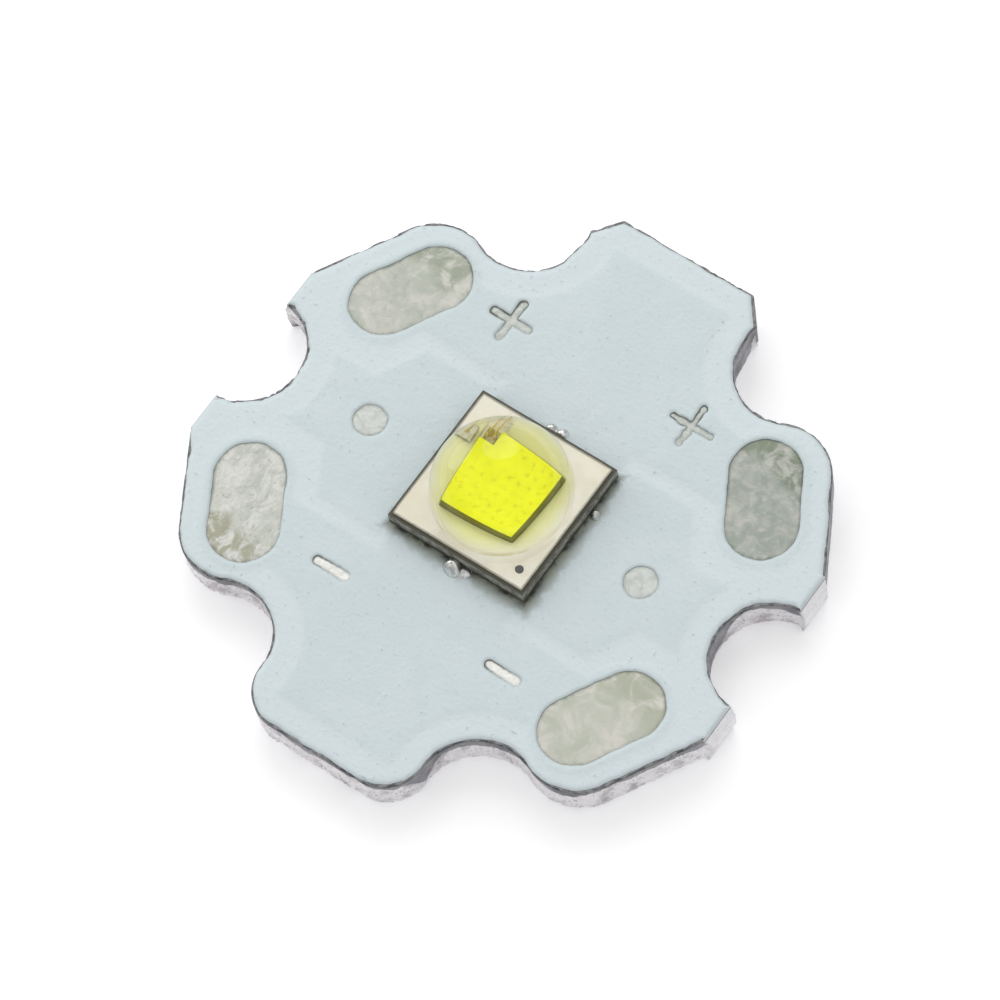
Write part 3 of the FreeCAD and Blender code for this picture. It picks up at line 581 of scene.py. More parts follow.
def wall_columns():
    """For each outline point: the column's points from top to bottom and how sheared each is."""
    facing = outward(OUTLINE)
    columns, shears, scores = [], [], []
    for index, p in enumerate(OUTLINE):
        scored = scored_amount(p)
        tear_line = CORE_TOP - SHEAR_DEPTH + 0.20 * wander(p.x, p.y, 1.6, 1)
        tear_line += 0.07 * wander(p.x, p.y, 0.25, 2)
        # Painted shade: walls turned towards +X and +Y get little light, so their dark band reaches further
        # down.
        darkened_by_lighting = float(smooth_step(Vector(facing[index]).dot(SHADED_WALL_SIDE), 0.55, 0.9)) * (1 - scored)
        tear_line -= SHADED_WALL_DEPTH * darkened_by_lighting
        foot = 0.02 + 0.16 * max(0.0, wander(p.x, p.y, 0.9, 3) + 0.25) + 0.05 * abs(wander(p.x, p.y, 0.2, 4))
        foot *= 1 - 0.8 * scored
        column, shear = [], []
        for row in range(WALL_ROWS):
            z = CORE_TOP + (foot - CORE_TOP) * row / (WALL_ROWS - 1)
            torn = float(smooth_step(tear_line - z, -0.02, 0.06))
            rough = TEAR_DEPTH * abs(noise.fractal(Vector((p.x / 0.34, p.y / 0.34, z / 0.3)), 0.8, 2.1, 4))
            comb = 0.006 * wander(p.x, p.y, 0.06, 5, 2)
            inward = WALL_GAP + comb + torn * (TORN_GAP + rough)
            inward += ROLL_DEPTH * float(smooth_step(ROLL_HEIGHT - z, 0, ROLL_HEIGHT)) ** 2
            if scored:
                slope = min(1.0, (CORE_TOP - z) / SCORE_DEPTH, z / SCORE_DEPTH)
                web = float(smooth_step(slope, 0.92, 1.0))
                reach = SCORE_REACH * max(0.0, slope) - web * (0.01 + 0.5 * rough) - 0.004
                x = math.copysign(SCORED_WIDTH / 2 + reach, p.x)
                outer = max(0.0, abs(p.y) - SNAP_MIDDLE) / SNAP_HALF
                slide = -SNAP_SLIDE * outer * reach / SCORE_REACH
                column.append((x, math.copysign(abs(p.y) + slide, p.y), z))
                shear.append(0.35 * (1 - web))
            else:
                column.append((p.x - facing[index][0] * inward, p.y - facing[index][1] * inward, z))
                shear.append(max(1 - torn, 0.2 * darkened_by_lighting))
        columns.append(column)
        shears.append(shear)
        scores.append([scored] * WALL_ROWS)
    return columns, shears, scores


columns, shears, scores = wall_columns()
print("wall columns:", len(columns), "core top", round(CORE_TOP, 3), "score reach", round(SCORE_REACH, 3))

# %% [markdown]
# Sheared aluminium is smooth, and its band is painted dark grey in place of the dark
# surroundings it mirrors. Torn aluminium shows clean bright metal in tiny steps. The
# finish reads which of the two a point is from the number kept on the wall, and adds
# the steps as bump.

# %% Torn and sheared aluminium
def aluminium_finish():
    finish = Finish("torn_aluminium", roughness=0.45, metallic=0.35)
    sheared = finish.painted("sheared")
    scored = finish.painted("scored")
    z = finish.axes()[2]
    patches = finish.grain(0.55, detail=4)
    crumbs = finish.grain(0.09, detail=3)
    bright = finish.mixed(finish.step(patches, 0.30, 0.55), shade(196, 190, 193), shade(248, 245, 247))
    bright = finish.mixed(finish.step(crumbs, 0.58, 0.72), bright, shade(166, 158, 160))
    # Painted reflection: the smooth sheared band is coloured dark grey in place of the dark surroundings it
    # would mirror.
    darkened_by_lighting = finish.mixed(finish.step(patches, 0.3, 0.7), shade(112, 112, 117), shade(158, 157, 162))
    wall = finish.mixed(sheared, bright, darkened_by_lighting)
    wall = finish.mixed(finish.times(scored, 0.75), wall, shade(246, 245, 247))
    broad = finish.step(finish.grain(3.0), 0.35, 0.65)
    under = finish.mixed(broad, shade(196, 197, 200), shade(216, 217, 219))
    drawn = finish.grain(0.12, where=finish.moved(stretch=(40, 1, 1)))
    under = finish.mixed(finish.times(drawn, 0.35), under, shade(160, 161, 165))
    ring = finish.mixed(finish.step(patches, 0.35, 0.65), shade(104, 105, 108), shade(150, 150, 153))
    upper_edge = finish.step(z, CORE_TOP - 0.03, CORE_TOP - 0.008)
    wall = finish.mixed(finish.times(upper_edge, 0.9), wall, ring)
    finish.colour(finish.mixed(finish.step(z, 0.004, 0.02, reverse=True), wall, under))
    finish.roughness(finish.plus(0.34, finish.times(crumbs, 0.3)))
    finish.relief(finish.plus(crumbs, finish.times(patches, 0.6)), 0.05)
    return finish


print("wall finish ready")

# %% [markdown]
# The core is closed by its flat top and by the flat that touches the heat sink. That
# flat starts a little inside the outline, where the rolled rim ends. A line moved
# inwards folds over itself at a sharp corner, so its folded points are spread out.

# %% The core
FOLD_MARGIN = 0.002


def inset_line(line, inset):
    """A line moved inwards, with the points that fold over at a sharp corner spread out there."""
    moved = [Vector((p.x - f[0] * inset, p.y - f[1] * inset)) for p, f in zip(line, outward(line))]
    depth = -from_line(moved, line)
    sound = [index for index, value in enumerate(depth) if value > inset - FOLD_MARGIN]
    for first, last in zip(sound, sound[1:] + [sound[0] + len(line)]):
        for index in range(first + 1, last):
            share = (index - first) / (last - first)
            moved[index % len(line)] = moved[first].lerp(moved[last % len(line)], share)
    return moved


def build_core():
    count = len(OUTLINE)
    points = [p for column in columns for p in column]
    faces = []
    for index in range(count):
        first, second = index * WALL_ROWS, (index + 1) % count * WALL_ROWS
        for row in range(WALL_ROWS - 1):
            faces.append((first + row, first + row + 1, second + row + 1, second + row))
    rim = len(points)
    under, triangles, _ = filled([inset_line(OUTLINE, CONTACT_INSET)])
    points += [(x, y, 0.0) for x, y in under]
    shears.append([0.0] * len(under))
    scores.append([0.0] * len(under))
    for index in range(count):
        after = (index + 1) % count
        low, next_low = index * WALL_ROWS + WALL_ROWS - 1, after * WALL_ROWS + WALL_ROWS - 1
        faces.append((low, rim + index, rim + after, next_low))
    flat_faces = range(len(faces), len(faces) + 1 + len(triangles))
    faces.append(tuple(index * WALL_ROWS for index in range(count)))
    faces += [tuple(rim + index for index in reversed(corners)) for corners in triangles]
    painted = {
        "sheared": [v for column in shears for v in column],
        "scored": [v for column in scores for v in column],
    }
    return add_piece(
        "aluminium_core", points, faces, aluminium_finish(),
        stands_for=["base_plate"], painted=painted, flat_faces=flat_faces)


build_core()

# %% [markdown]
# Between metal and copper lies a thin film of filled resin, which carries heat but
# no current. The punch tears it a little, and the white ink stops just short of the
# cut, so a dark ragged line of resin and burr runs round the whole white face. It
# is made by giving the film the outline with a ragged edge, and by drawing a second
# line inside it where the ink stops.

# %% Insulating film and the line where the ink stops
FILM_FLOOR, FILM_TOP = (corner.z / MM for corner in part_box("dielectric_layer"))
INK_STOP = 0.075
SCORED_INK_STOP = 0.03
INK_CORNER = 8.06


def slab_between(loop, floor, top):
    """Points and faces of an upright slab with a closed outline."""
    count = len(loop)
    points = [(p[0], p[1], floor) for p in loop] + [(p[0], p[1], top) for p in loop]
    faces = ring_faces(0, count, count)
    faces.append(tuple(reversed(range(count))))
    faces.append(tuple(range(count, 2 * count)))
    return points, faces, [count, count + 1]


def raggedness(p):
    """The notch on -X came out rougher than the rest."""
    return float(smooth_step(-p.x, 7.4, 8.4)) * float(smooth_step(3.4 - abs(p.y), 0.0, 0.4))


def ink_line():
    """Where the white ink stops: inside the cut, and cut off straight at the bare lobe's corners."""
    line = []
    for p, f in zip(OUTLINE, outward(OUTLINE)):
        stop = INK_STOP + 0.05 * wander(p.x, p.y, 0.7, 61)
        stop += 0.10 * raggedness(p) * max(0.0, wander(p.x, p.y, 0.3, 63))
        if scored_amount(p):
            stop = SCORED_INK_STOP
        line.append(Vector((p.x - f[0] * stop, p.y - f[1] * stop)))
    return cut_corners(line, INK_CORNER)


def build_film():
    finish = Finish("insulating_film", roughness=0.6)
    specks = finish.grain(0.2, detail=4)
    resin = finish.mixed(finish.step(specks, 0.40, 0.60), shade(98, 99, 100), shade(142, 142, 142))
    x = finish.axes()[0]
    snapped = finish.step(finish.math("ABSOLUTE", x), SCORED_WIDTH / 2 - 0.06, SCORED_WIDTH / 2 - 0.04)
    finish.colour(finish.mixed(snapped, resin, shade(216, 218, 220)))
    finish.relief(specks, 0.04)
    loop = []
    for p, f in zip(OUTLINE, outward(OUTLINE)):
        bite = (0.09 + 0.12 * raggedness(p)) * max(0.0, wander(p.x, p.y, 0.35, 62))
        torn = 0.01 + bite * (1 - scored_amount(p))
        loop.append((p.x - f[0] * torn, p.y - f[1] * torn))
    points, faces, flat_faces = slab_between(loop, FILM_FLOOR, FILM_TOP)
    return add_piece(
        "insulating_film", points, faces, finish,
        stands_for=["dielectric_layer"], flat_faces=flat_faces)


INK_LINE = ink_line()
build_film()

# %% [markdown]
# ## The white face
# Solder mask is poured or printed over the etched copper, so it lies higher over
# copper and sinks into the gaps: that is why the copper's outline shows faintly
# through the white. The mask's height is therefore worked out from the copper
# solids themselves. Where something is soldered or tinned the mask has a window,
# and the polarity signs are narrow windows too.

# %% Copper outlines read from the solids
def top_loops(node):
    """The closed lines round a solid's flat top, in millimetres, anticlockwise."""
    work = bmesh.new()
    work.from_mesh(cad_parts[node].data)
    bmesh.ops.remove_doubles(work, verts=work.verts, dist=1e-7)
    top = max(v.co.z for v in work.verts)
    upper = {f for f in work.faces if f.normal.z > 0.99 and f.calc_center_median().z > top - 1e-6}
    follow = {}
    for face in upper:
        for loop in face.loops:
            others = [f for f in loop.edge.link_faces if f in upper]
            if len(others) == 1:
                follow[loop.vert.index] = loop.link_loop_next.vert.index
    work.verts.ensure_lookup_table()
    loops = []
    while follow:
        start, at = follow.popitem()
        loop = [start]
        while at != start:
            loop.append(at)
            at = follow.pop(at)
        loops.append([(work.verts[i].co.x / MM, work.verts[i].co.y / MM) for i in loop])
    work.free()
    return loops


COPPER_AREAS = ("anode_copper", "cathode_copper", "thermal_copper")
COPPER_LOOPS = [loop for node in COPPER_AREAS for loop in top_loops(node)]
print("copper outlines:", [len(loop) for loop in COPPER_LOOPS])

# %% [markdown]
# A printed window never has a perfectly even border. Each is drawn as a true slot,
# circle or sign first, and then pushed in and out by a few hundredths of a
# millimetre. The signs could be text, but arms with round ends are what an etched
# sign has, and their strokes can be waved like the rest.

# %% Windows in the mask
PAD_LENGTH = 4.1
PAD_WIDTH = 2.3
PAD_PLACE = (6.67, 4.347)
SPOT_PLACE = 5.1
SPOT_RADIUS = 0.55
SIGN_STEP = 0.05


def wavy(loop, amount, size, seed):
    """A line pushed in and out a little, as a printed edge is."""
    moved = []
    for p, f in zip(loop, outward(loop)):
        drift = wander(p[0], p[1], size, seed)
        moved.append((p[0] + f[0] * amount * drift, p[1] + f[1] * amount * drift))
    return moved


def obround_line(middle, length, width, degrees, step=0.08):
    """A slot with round ends, lying at an angle."""
    along, across = heading(degrees), heading(degrees + 90)
    middle = Vector(middle)
    left, right = middle - along * (length - width) / 2, middle + along * (length - width) / 2
    side = across * width / 2
    line = straight(left - side, right - side, step)
    line += arc(right, right - side, right + side, step=step)
    line += straight(right + side, left + side, step)
    return line + arc(left, left + side, left - side, step=step)


def plus_line(middle, arm, stroke):
    """A plus sign whose four arms have round ends."""
    along, across = heading(0), heading(90)
    middle = Vector(middle)
    line = []
    for _ in range(4):
        tip = middle + along * (arm - stroke / 2)
        inner = middle + (along - across) * stroke / 2
        side = across * stroke / 2
        line += straight(inner, tip - side, SIGN_STEP)
        line += arc(tip, tip - side, tip + side, step=SIGN_STEP)
        line += straight(tip + side, middle + (along + across) * stroke / 2, SIGN_STEP)
        along, across = across, -along
    return line


def round_line(middle, radius, count=60):
    return [Vector(middle) + heading(360 * index / count) * radius for index in range(count)]


PAD_WINDOWS = {}
for pole, side_y in (("anode", 1), ("cathode", -1)):
    for side, side_x in (("left", -1), ("right", 1)):
        middle = (side_x * PAD_PLACE[0], side_y * PAD_PLACE[1])
        line = obround_line(middle, PAD_LENGTH, PAD_WIDTH, 90 + 30 * side_x * side_y)
        PAD_WINDOWS[f"{pole}_wire_pad_{side}"] = wavy(line, 0.03, 0.5, len(PAD_WINDOWS) + 11)
SPOT_WINDOWS = {
    f"test_spot_{side}": wavy(round_line((side_x * SPOT_PLACE, 0), SPOT_RADIUS), 0.03, 0.4, 21 + side_x)
    for side, side_x in (("left", -1), ("right", 1))
}
SIGN_WINDOWS = {
    "plus_sign_left": wavy(plus_line((-3.4, 5.2), 0.80, 0.30), 0.03, 0.3, 31),
    "plus_sign_right": wavy(plus_line((3.4, 5.2), 0.80, 0.25), 0.05, 0.25, 32),
    "minus_sign_left": wavy(obround_line((-3.15, -4.75), 1.35, 0.34, 0, SIGN_STEP), 0.02, 0.3, 33),
    "minus_sign_right": wavy(obround_line((3.3, -4.75), 1.35, 0.34, 0, SIGN_STEP), 0.02, 0.3, 34),
}
print("windows:", len(PAD_WINDOWS) + len(SPOT_WINDOWS) + len(SIGN_WINDOWS))

# %% [markdown]
# The sheet could be a plane with a displacement texture, but that would blur the
# copper's border. Instead its points are laid where the height changes, in rows
# along each copper outline, window and edge, with a coarse lattice between them.

# %% The mask sheet
MASK_FLOOR, MASK_TOP = (corner.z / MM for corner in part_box("solder_mask"))
PAD_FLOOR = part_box("anode_wire_pad_left")[0].z / MM
SINK = 0.030
EDGE_ROLL, EDGE_ROLL_WIDTH = 0.022, 0.14
WINDOW_ROLL, WINDOW_ROLL_WIDTH = 0.012, 0.09
SWELL, SWELL_SHIFT = 0.006, 0.6
LATTICE = 0.24
PACKAGE_EDGE = 2.53
EMITTER_WINDOW = [(-2.32, -2.4), (2.32, -2.4), (2.32, 2.4), (-2.32, 2.4)]


def beside(loop, distances, spacing):
    """Points at several distances either side of a closed line."""
    corners = [Vector(p) for p in loop]
    line = []
    for index, corner in enumerate(corners):
        line += straight(corner, corners[(index + 1) % len(corners)], spacing)
    facing = outward(line)
    return [
        (p.x + f[0] * d, p.y + f[1] * d) for d in distances for p, f in zip(line, facing)
    ]


def mask_height(points, windows):
    """Top of the mask: sunk where no copper lies under it, rolled off at its edges."""
    copper = np.min([from_line(points, loop) for loop in COPPER_LOOPS], axis=0)
    board_edge = -from_line(points, INK_LINE)
    window_edge = np.min([from_line(points, loop) for loop in windows], axis=0)
    height = MASK_TOP - SINK * smooth_step(copper, -0.05, 0.16)
    height -= EDGE_ROLL * (1 - smooth_step(board_edge, 0.0, EDGE_ROLL_WIDTH))
    height -= WINDOW_ROLL * (1 - smooth_step(window_edge, 0.0, WINDOW_ROLL_WIDTH))
    height += SWELL * (wander_over(points, 1.6, 41, 2) - SWELL_SHIFT)
    return np.minimum(height, MASK_TOP), copper


def build_mask():
    windows = [EMITTER_WINDOW] + [
        loop for group in (PAD_WINDOWS, SPOT_WINDOWS, SIGN_WINDOWS) for loop in group.values()
    ]
    outline = [tuple(p) for p in INK_LINE]
    near = []
    for loop in COPPER_LOOPS:
        near += beside(loop, (-0.06, 0.05, 0.17), 0.16)
    for loop in windows[1:]:
        near += beside(loop, (0.05, 0.11), 0.12)
    near += beside(outline, (-0.05, -0.15), 0.12)
    points, triangles, _ = filled([outline], windows, LATTICE, near)
    heights, copper = mask_height(points, windows)
    count = len(points)
    verts = [(x, y, z) for (x, y), z in zip(points, heights)] + [(x, y, MASK_FLOOR) for x, y in points]
    faces = [tuple(t) for t in triangles]
    faces += [(a + count, c + count, b + count) for a, b, c in triangles]
    edges = {}
    for a, b, c in triangles:
        for first, second in ((a, b), (b, c), (c, a)):
            if edges.pop((second, first), None) is None:
                edges[(first, second)] = True
    walls = len(faces)
    faces += [(a, a + count, b + count, b) for a, b in edges]
    over_copper = 1 - smooth_step(copper, -0.05, 0.12)
    painted = {"over_copper": np.concatenate([over_copper, over_copper])}
    return add_piece(
        "solder_mask_sheet", verts, faces, mask_finish(),
        stands_for=["solder_mask"], painted=painted, flat_faces=range(walls, len(faces)))


def mask_finish():
    """Matt white ink: bluish, a little cloudy, with specks, and round the emitter flux residue with a painted
    shadow.
    """
    finish = Finish("white_solder_mask", roughness=0.48)
    x, y, _ = finish.axes()
    cloud = finish.grain(2.6, detail=3)
    fleck = finish.grain(0.16, detail=2)
    base = finish.mixed(finish.step(cloud, 0.3, 0.7), shade(195, 209, 211), shade(205, 217, 219))
    blots = finish.grain(0.8, detail=5, roughness=0.6)
    base = finish.mixed(finish.step(blots, 0.46, 0.70), base, shade(196, 209, 209))
    raised = finish.times(finish.painted("over_copper"), 0.45)
    base = finish.mixed(raised, shade(214, 225, 228), base)
    base = finish.mixed(finish.step(fleck, 0.62, 0.80), base, shade(184, 197, 200))
    # Round the emitter: flux residue together with a painted shadow, darkest at the package and wider on its
    # +X and -Y sides, away from the lamp.
    across = finish.math("ABSOLUTE", x)
    up = finish.math("ABSOLUTE", y)
    box = finish.minus(finish.math("MAXIMUM", across, up), PACKAGE_EDGE)
    blotch = finish.grain(0.5, detail=4)
    shaded = finish.step(finish.minus(x, finish.times(y, 1.2)), -1.0, 2.5)
    spread = finish.plus(0.08, finish.times(finish.step(blotch, 0.3, 0.75), 0.34))
    spread = finish.plus(spread, finish.times(shaded, 0.22))
    close = finish.minus(1.0, finish.math("DIVIDE", box, spread), clamp=True)
    flux_and_shadow = finish.mixed(finish.step(blotch, 0.38, 0.60), shade(74, 76, 62), shade(150, 155, 138))
    finish.colour(finish.mixed(close, base, flux_and_shadow))
    finish.roughness(finish.minus(0.52, finish.times(fleck, 0.12)))
    finish.relief(finish.plus(fleck, finish.times(finish.grain(0.5), 0.8)), 0.02)
    return finish


build_mask()

# %% [markdown]
# ## Tinned pads
# The wire pads, the round test spots and the signs are bare copper that was dipped
# in molten tin. Hand-levelled tin is never flat: it swells in the middle, thins out
# at the rim and keeps streaks and flux stains. Each pad here has its own seed, its
# own colours and one end with a stain and a painted reflection of its dark
# surroundings, because no two in the photograph look alike.

# %% Tinned surfaces
TIN_STEP = 0.11
TIN_LIFT = 0.022
TIN_OVERLAP = 0.012
TIN_ROUNDING = 0.14
SHADED_SIDE = np.array((-0.62, 0.78))
STAIN_AND_REFLECTION_SIDE = (0.14, 0.99)
STAIN_AND_REFLECTION_REACH, STAIN_AND_REFLECTION_BLEND = 0.55, 0.55


def tin_finish(name, pale, stained, seed, stain_and_reflection=None, patch=0.5, streaks=(1, 1, 1), wrinkle=0.05,
               crease=0.3, rim_shadow=0.75):
    """Dull tin in two patchy colours, with creases, and where their numbers are stored on the mesh, a stain
    with a painted reflection and a painted shadow along the rim.
    """
    finish = Finish(name, roughness=0.55, metallic=0.15)
    where = finish.moved(shift=(seed * 7.1, seed * 3.3, 0), stretch=streaks)
    patches = finish.grain(patch, detail=5, roughness=0.62, where=where, distortion=0.6)
    creases = finish.grain(patch * 0.3, detail=3, where=where)
    colour = finish.mixed(finish.step(patches, 0.34, 0.66), pale, stained)
    light = finish.times(finish.step(creases, 0.55, 0.75), crease)
    colour = finish.mixed(light, colour, shade(224, 225, 219))
    dark = finish.times(finish.step(creases, 0.24, 0.42, reverse=True), crease)
    colour = finish.mixed(dark, colour, shade(146, 150, 138))
    if stain_and_reflection:
        # A stain with a painted reflection in it: darker green-grey towards one end of the pad.
        reach = finish.times(finish.painted("stain_and_reflection"), finish.step(patches, 0.36, 0.56))
        colour = finish.mixed(finish.times(reach, 0.8), colour, stain_and_reflection)
    # Painted shadow along the rim, as cast by the mask's edge.
    rim = finish.times(finish.painted("rim"), rim_shadow)
    finish.colour(finish.mixed(rim, colour, shade(100, 106, 96)))
    finish.roughness(finish.plus(0.42, finish.times(patches, 0.3)))
    finish.relief(finish.plus(patches, finish.times(creases, 0.5)), wrinkle)
    return finish


def tin_piece(name, window, finish, seed, stands_for=(), waves=0.006, lift=TIN_LIFT, step=TIN_STEP,
              stain_and_reflection_side=STAIN_AND_REFLECTION_SIDE):
    """A low cushion of tin that fills a window in the mask."""
    line = [(p[0] + f[0] * TIN_OVERLAP, p[1] + f[1] * TIN_OVERLAP) for p, f in zip(window, outward(window))]
    points, triangles, rim_count = filled([line], lattice=step)
    inside = -from_line(points, line)
    height = lift * (0.25 + 0.75 * smooth_step(inside, 0.0, TIN_ROUNDING))
    height += waves * wander_over(points, 0.45, seed) * smooth_step(inside, 0.0, 0.2)
    top = PAD_FLOOR + np.clip(height, 0.004, MASK_TOP - PAD_FLOOR)
    count = len(points)
    verts = [(x, y, z) for (x, y), z in zip(points, top)] + [(x, y, PAD_FLOOR) for x, y in line]
    faces = [tuple(t) for t in triangles]
    faces += [(i, count + i, count + (i + 1) % rim_count, (i + 1) % rim_count) for i in range(rim_count)]
    flat = [len(faces)]
    faces.append(tuple(count + i for i in reversed(range(rim_count))))
    # Painted shadow of the mask's edge along the rim, strongest on the side towards the lamp.
    rim = 1 - smooth_step(inside + 0.03 * wander_over(points, 0.2, seed + 3), 0.02, 0.10)
    middle = np.mean(np.asarray(line), axis=0)
    side = ((points - middle) * SHADED_SIDE).sum(1)
    rim *= 0.25 + 0.75 * smooth_step(side, -0.4, 0.6)
    # Where the stain and painted reflection lie: towards one end of the pad, given by its side.
    across = ((points - middle) * np.array(stain_and_reflection_side)).sum(1)
    across += 0.35 * wander_over(points, 0.7, seed + 9)
    stain_and_reflection = smooth_step(across, STAIN_AND_REFLECTION_REACH, STAIN_AND_REFLECTION_REACH + STAIN_AND_REFLECTION_BLEND)
    under = np.zeros(rim_count)
    painted = {"rim": np.concatenate([rim, under]), "stain_and_reflection": np.concatenate([stain_and_reflection, under])}
    return add_piece(
        name, verts, faces, finish, stands_for=stands_for, painted=painted, flat_faces=flat)


PAD_CHARACTERS = {
    "anode_wire_pad_left": dict(
        pale=shade(207, 206, 197), stained=shade(184, 189, 177), stain_and_reflection=shade(154, 162, 142),
        patch=0.7, wrinkle=0.03),
    "anode_wire_pad_right": dict(
        pale=shade(188, 189, 180), stained=shade(158, 166, 157), stain_and_reflection=shade(126, 136, 114),
        patch=0.6, wrinkle=0.035),
    "cathode_wire_pad_left": dict(
        pale=shade(221, 221, 215), stained=shade(194, 198, 187), stain_and_reflection=shade(166, 164, 140),
        patch=0.45, streaks=(0.8, 1.3, 1), wrinkle=0.06, crease=0.6),
    "cathode_wire_pad_right": dict(
        pale=shade(213, 210, 201), stained=shade(188, 193, 178), stain_and_reflection=shade(176, 180, 160),
        patch=0.8, wrinkle=0.02, crease=0.15),
}
STAIN_AND_REFLECTION_ENDS = {"cathode_wire_pad_left": (-0.14, -0.99)}
for seed, (node, character) in enumerate(PAD_CHARACTERS.items(), start=1):
    finish = tin_finish(f"tin_{node}", seed=seed, **character)
    stain_and_reflection_side = STAIN_AND_REFLECTION_ENDS.get(node, STAIN_AND_REFLECTION_SIDE)
    tin_piece(f"tinned_{node}", PAD_WINDOWS[node], finish, seed, stands_for=[node], stain_and_reflection_side=stain_and_reflection_side)

# %% [markdown]
# The test spots and signs are made in the same way as the pads, only thinner. The
# plus signs get a strong painted shadow along their border, the minus signs a slightly
# weaker one, and the minus signs are the brightest tin here.

# %% Test spots and signs
spot_tin = tin_finish(
    "tin_spots", shade(216, 220, 216), shade(198, 202, 196), 6, stain_and_reflection=shade(176, 182, 174), patch=0.4,
    wrinkle=0.03, rim_shadow=0.45)
for seed, (node, window) in enumerate(SPOT_WINDOWS.items(), start=7):
    tin_piece(f"tinned_{node}", window, spot_tin, seed, stands_for=[node])
plus_tin = tin_finish(
    "tin_plus_signs", shade(212, 217, 212), shade(190, 195, 188), 9, patch=0.3, rim_shadow=1.5)
minus_tin = tin_finish(
    "tin_minus_signs", shade(250, 250, 247), shade(236, 236, 230), 10, patch=0.3, rim_shadow=1.3)
for seed, (name, window) in enumerate(SIGN_WINDOWS.items(), start=12):
    sign_tin = plus_tin if "plus" in name else minus_tin
    tin_piece(name, window, sign_tin, seed, waves=0.003, lift=0.008, step=0.045)

# %% [markdown]
# ## The emitter
# The ceramic is grey-green alumina, cut with a saw, so its walls are mottled and
# slightly chipped. It keeps its solid and only gets a finish. On top lies a cream
# reflective coating, tinted yellow where phosphor light soaks into it.

# %% Ceramic and coating
COATING_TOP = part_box("white_coating")[1].z / MM
DARK_FOOT_BAND, CERAMIC_FACE, RIM_BAND = (1.80, 2.0), (2.165, 2.178), (2.36, 2.42)


def ceramic_finish():
    finish = Finish("ceramic", roughness=0.6)
    mottle = finish.grain(0.22, detail=4)
    crumb = finish.grain(0.05, detail=2)
    x, y, z = finish.axes()
    wall = finish.mixed(finish.step(mottle, 0.35, 0.65), shade(96, 97, 86), shade(150, 150, 140))
    wall = finish.mixed(finish.step(crumb, 0.58, 0.72), wall, shade(182, 182, 174))
    # The wall is drawn much darker, near black, towards its foot.
    low = finish.step(finish.plus(z, finish.times(mottle, 0.1)), *DARK_FOOT_BAND, reverse=True)
    wall = finish.mixed(finish.times(low, 0.85), wall, shade(34, 34, 28))
    upper = finish.step(z, *CERAMIC_FACE)
    rim = finish.math("MAXIMUM", finish.math("ABSOLUTE", x), finish.math("ABSOLUTE", y))
    face = finish.mixed(finish.step(rim, *RIM_BAND), shade(226, 220, 180), shade(84, 82, 68))
    finish.colour(finish.mixed(upper, wall, face))
    finish.relief(finish.plus(mottle, crumb), 0.03)
    return finish


def coating_finish():
    finish = Finish("cream_coating", roughness=0.5)
    x, y, _ = finish.axes()
    squares = finish.plus(finish.times(x, x), finish.times(y, y))
    away = finish.math("SQRT", squares)
    cloud = finish.grain(0.9, detail=3)
    cream = finish.mixed(finish.step(cloud, 0.35, 0.65), shade(236, 230, 209), shade(244, 240, 225))
    reach = finish.plus(away, finish.times(cloud, 0.5))
    tint = finish.step(reach, 1.3, 2.45, reverse=True)
    cream = finish.mixed(finish.times(tint, 0.85), cream, shade(230, 230, 132))
    ring = finish.times(finish.step(away, 1.75, 2.0), finish.step(away, 2.05, 2.22, reverse=True))
    low = finish.step(finish.minus(finish.times(x, 0.5), y), 0.4, 2.0)
    ring = finish.times(ring, finish.times(low, finish.step(cloud, 0.35, 0.6)))
    cream = finish.mixed(finish.times(ring, 0.7), cream, shade(188, 180, 96))
    edge = finish.math("MAXIMUM", finish.math("ABSOLUTE", x), finish.math("ABSOLUTE", y))
    soiled = finish.step(finish.plus(edge, finish.times(cloud, 0.04)), 2.36, 2.43)
    cream = finish.mixed(finish.times(soiled, 0.8), cream, shade(88, 84, 68))
    finish.colour(cream)
    finish.relief(finish.grain(0.12), 0.012)
    return finish


def dress(node, finish):
    """Give a solid of the CAD model its finish."""
    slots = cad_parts[node].data.materials
    slots.clear()
    slots.append(finish.material)
    print(node, "dressed in", finish.material.name)


dress("ceramic_substrate", ceramic_finish())
dress("white_coating", coating_finish())

# %% [markdown]
# ## Chip, phosphor and bond
# The chip is all but hidden under a coat of yellow phosphor powder. Where its cut
# corner shows beside the wires' feet, it looks golden olive. The powder settles over
# a grid of bumps under the chip, which show as faint darker dots. On the chip's sides
# it is thin, and painted dark olive as the shade that falls there.

# %% Chip and phosphor
PHOSPHOR_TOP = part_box("phosphor_layer")[1].z / MM
DOT_PITCH = 0.26


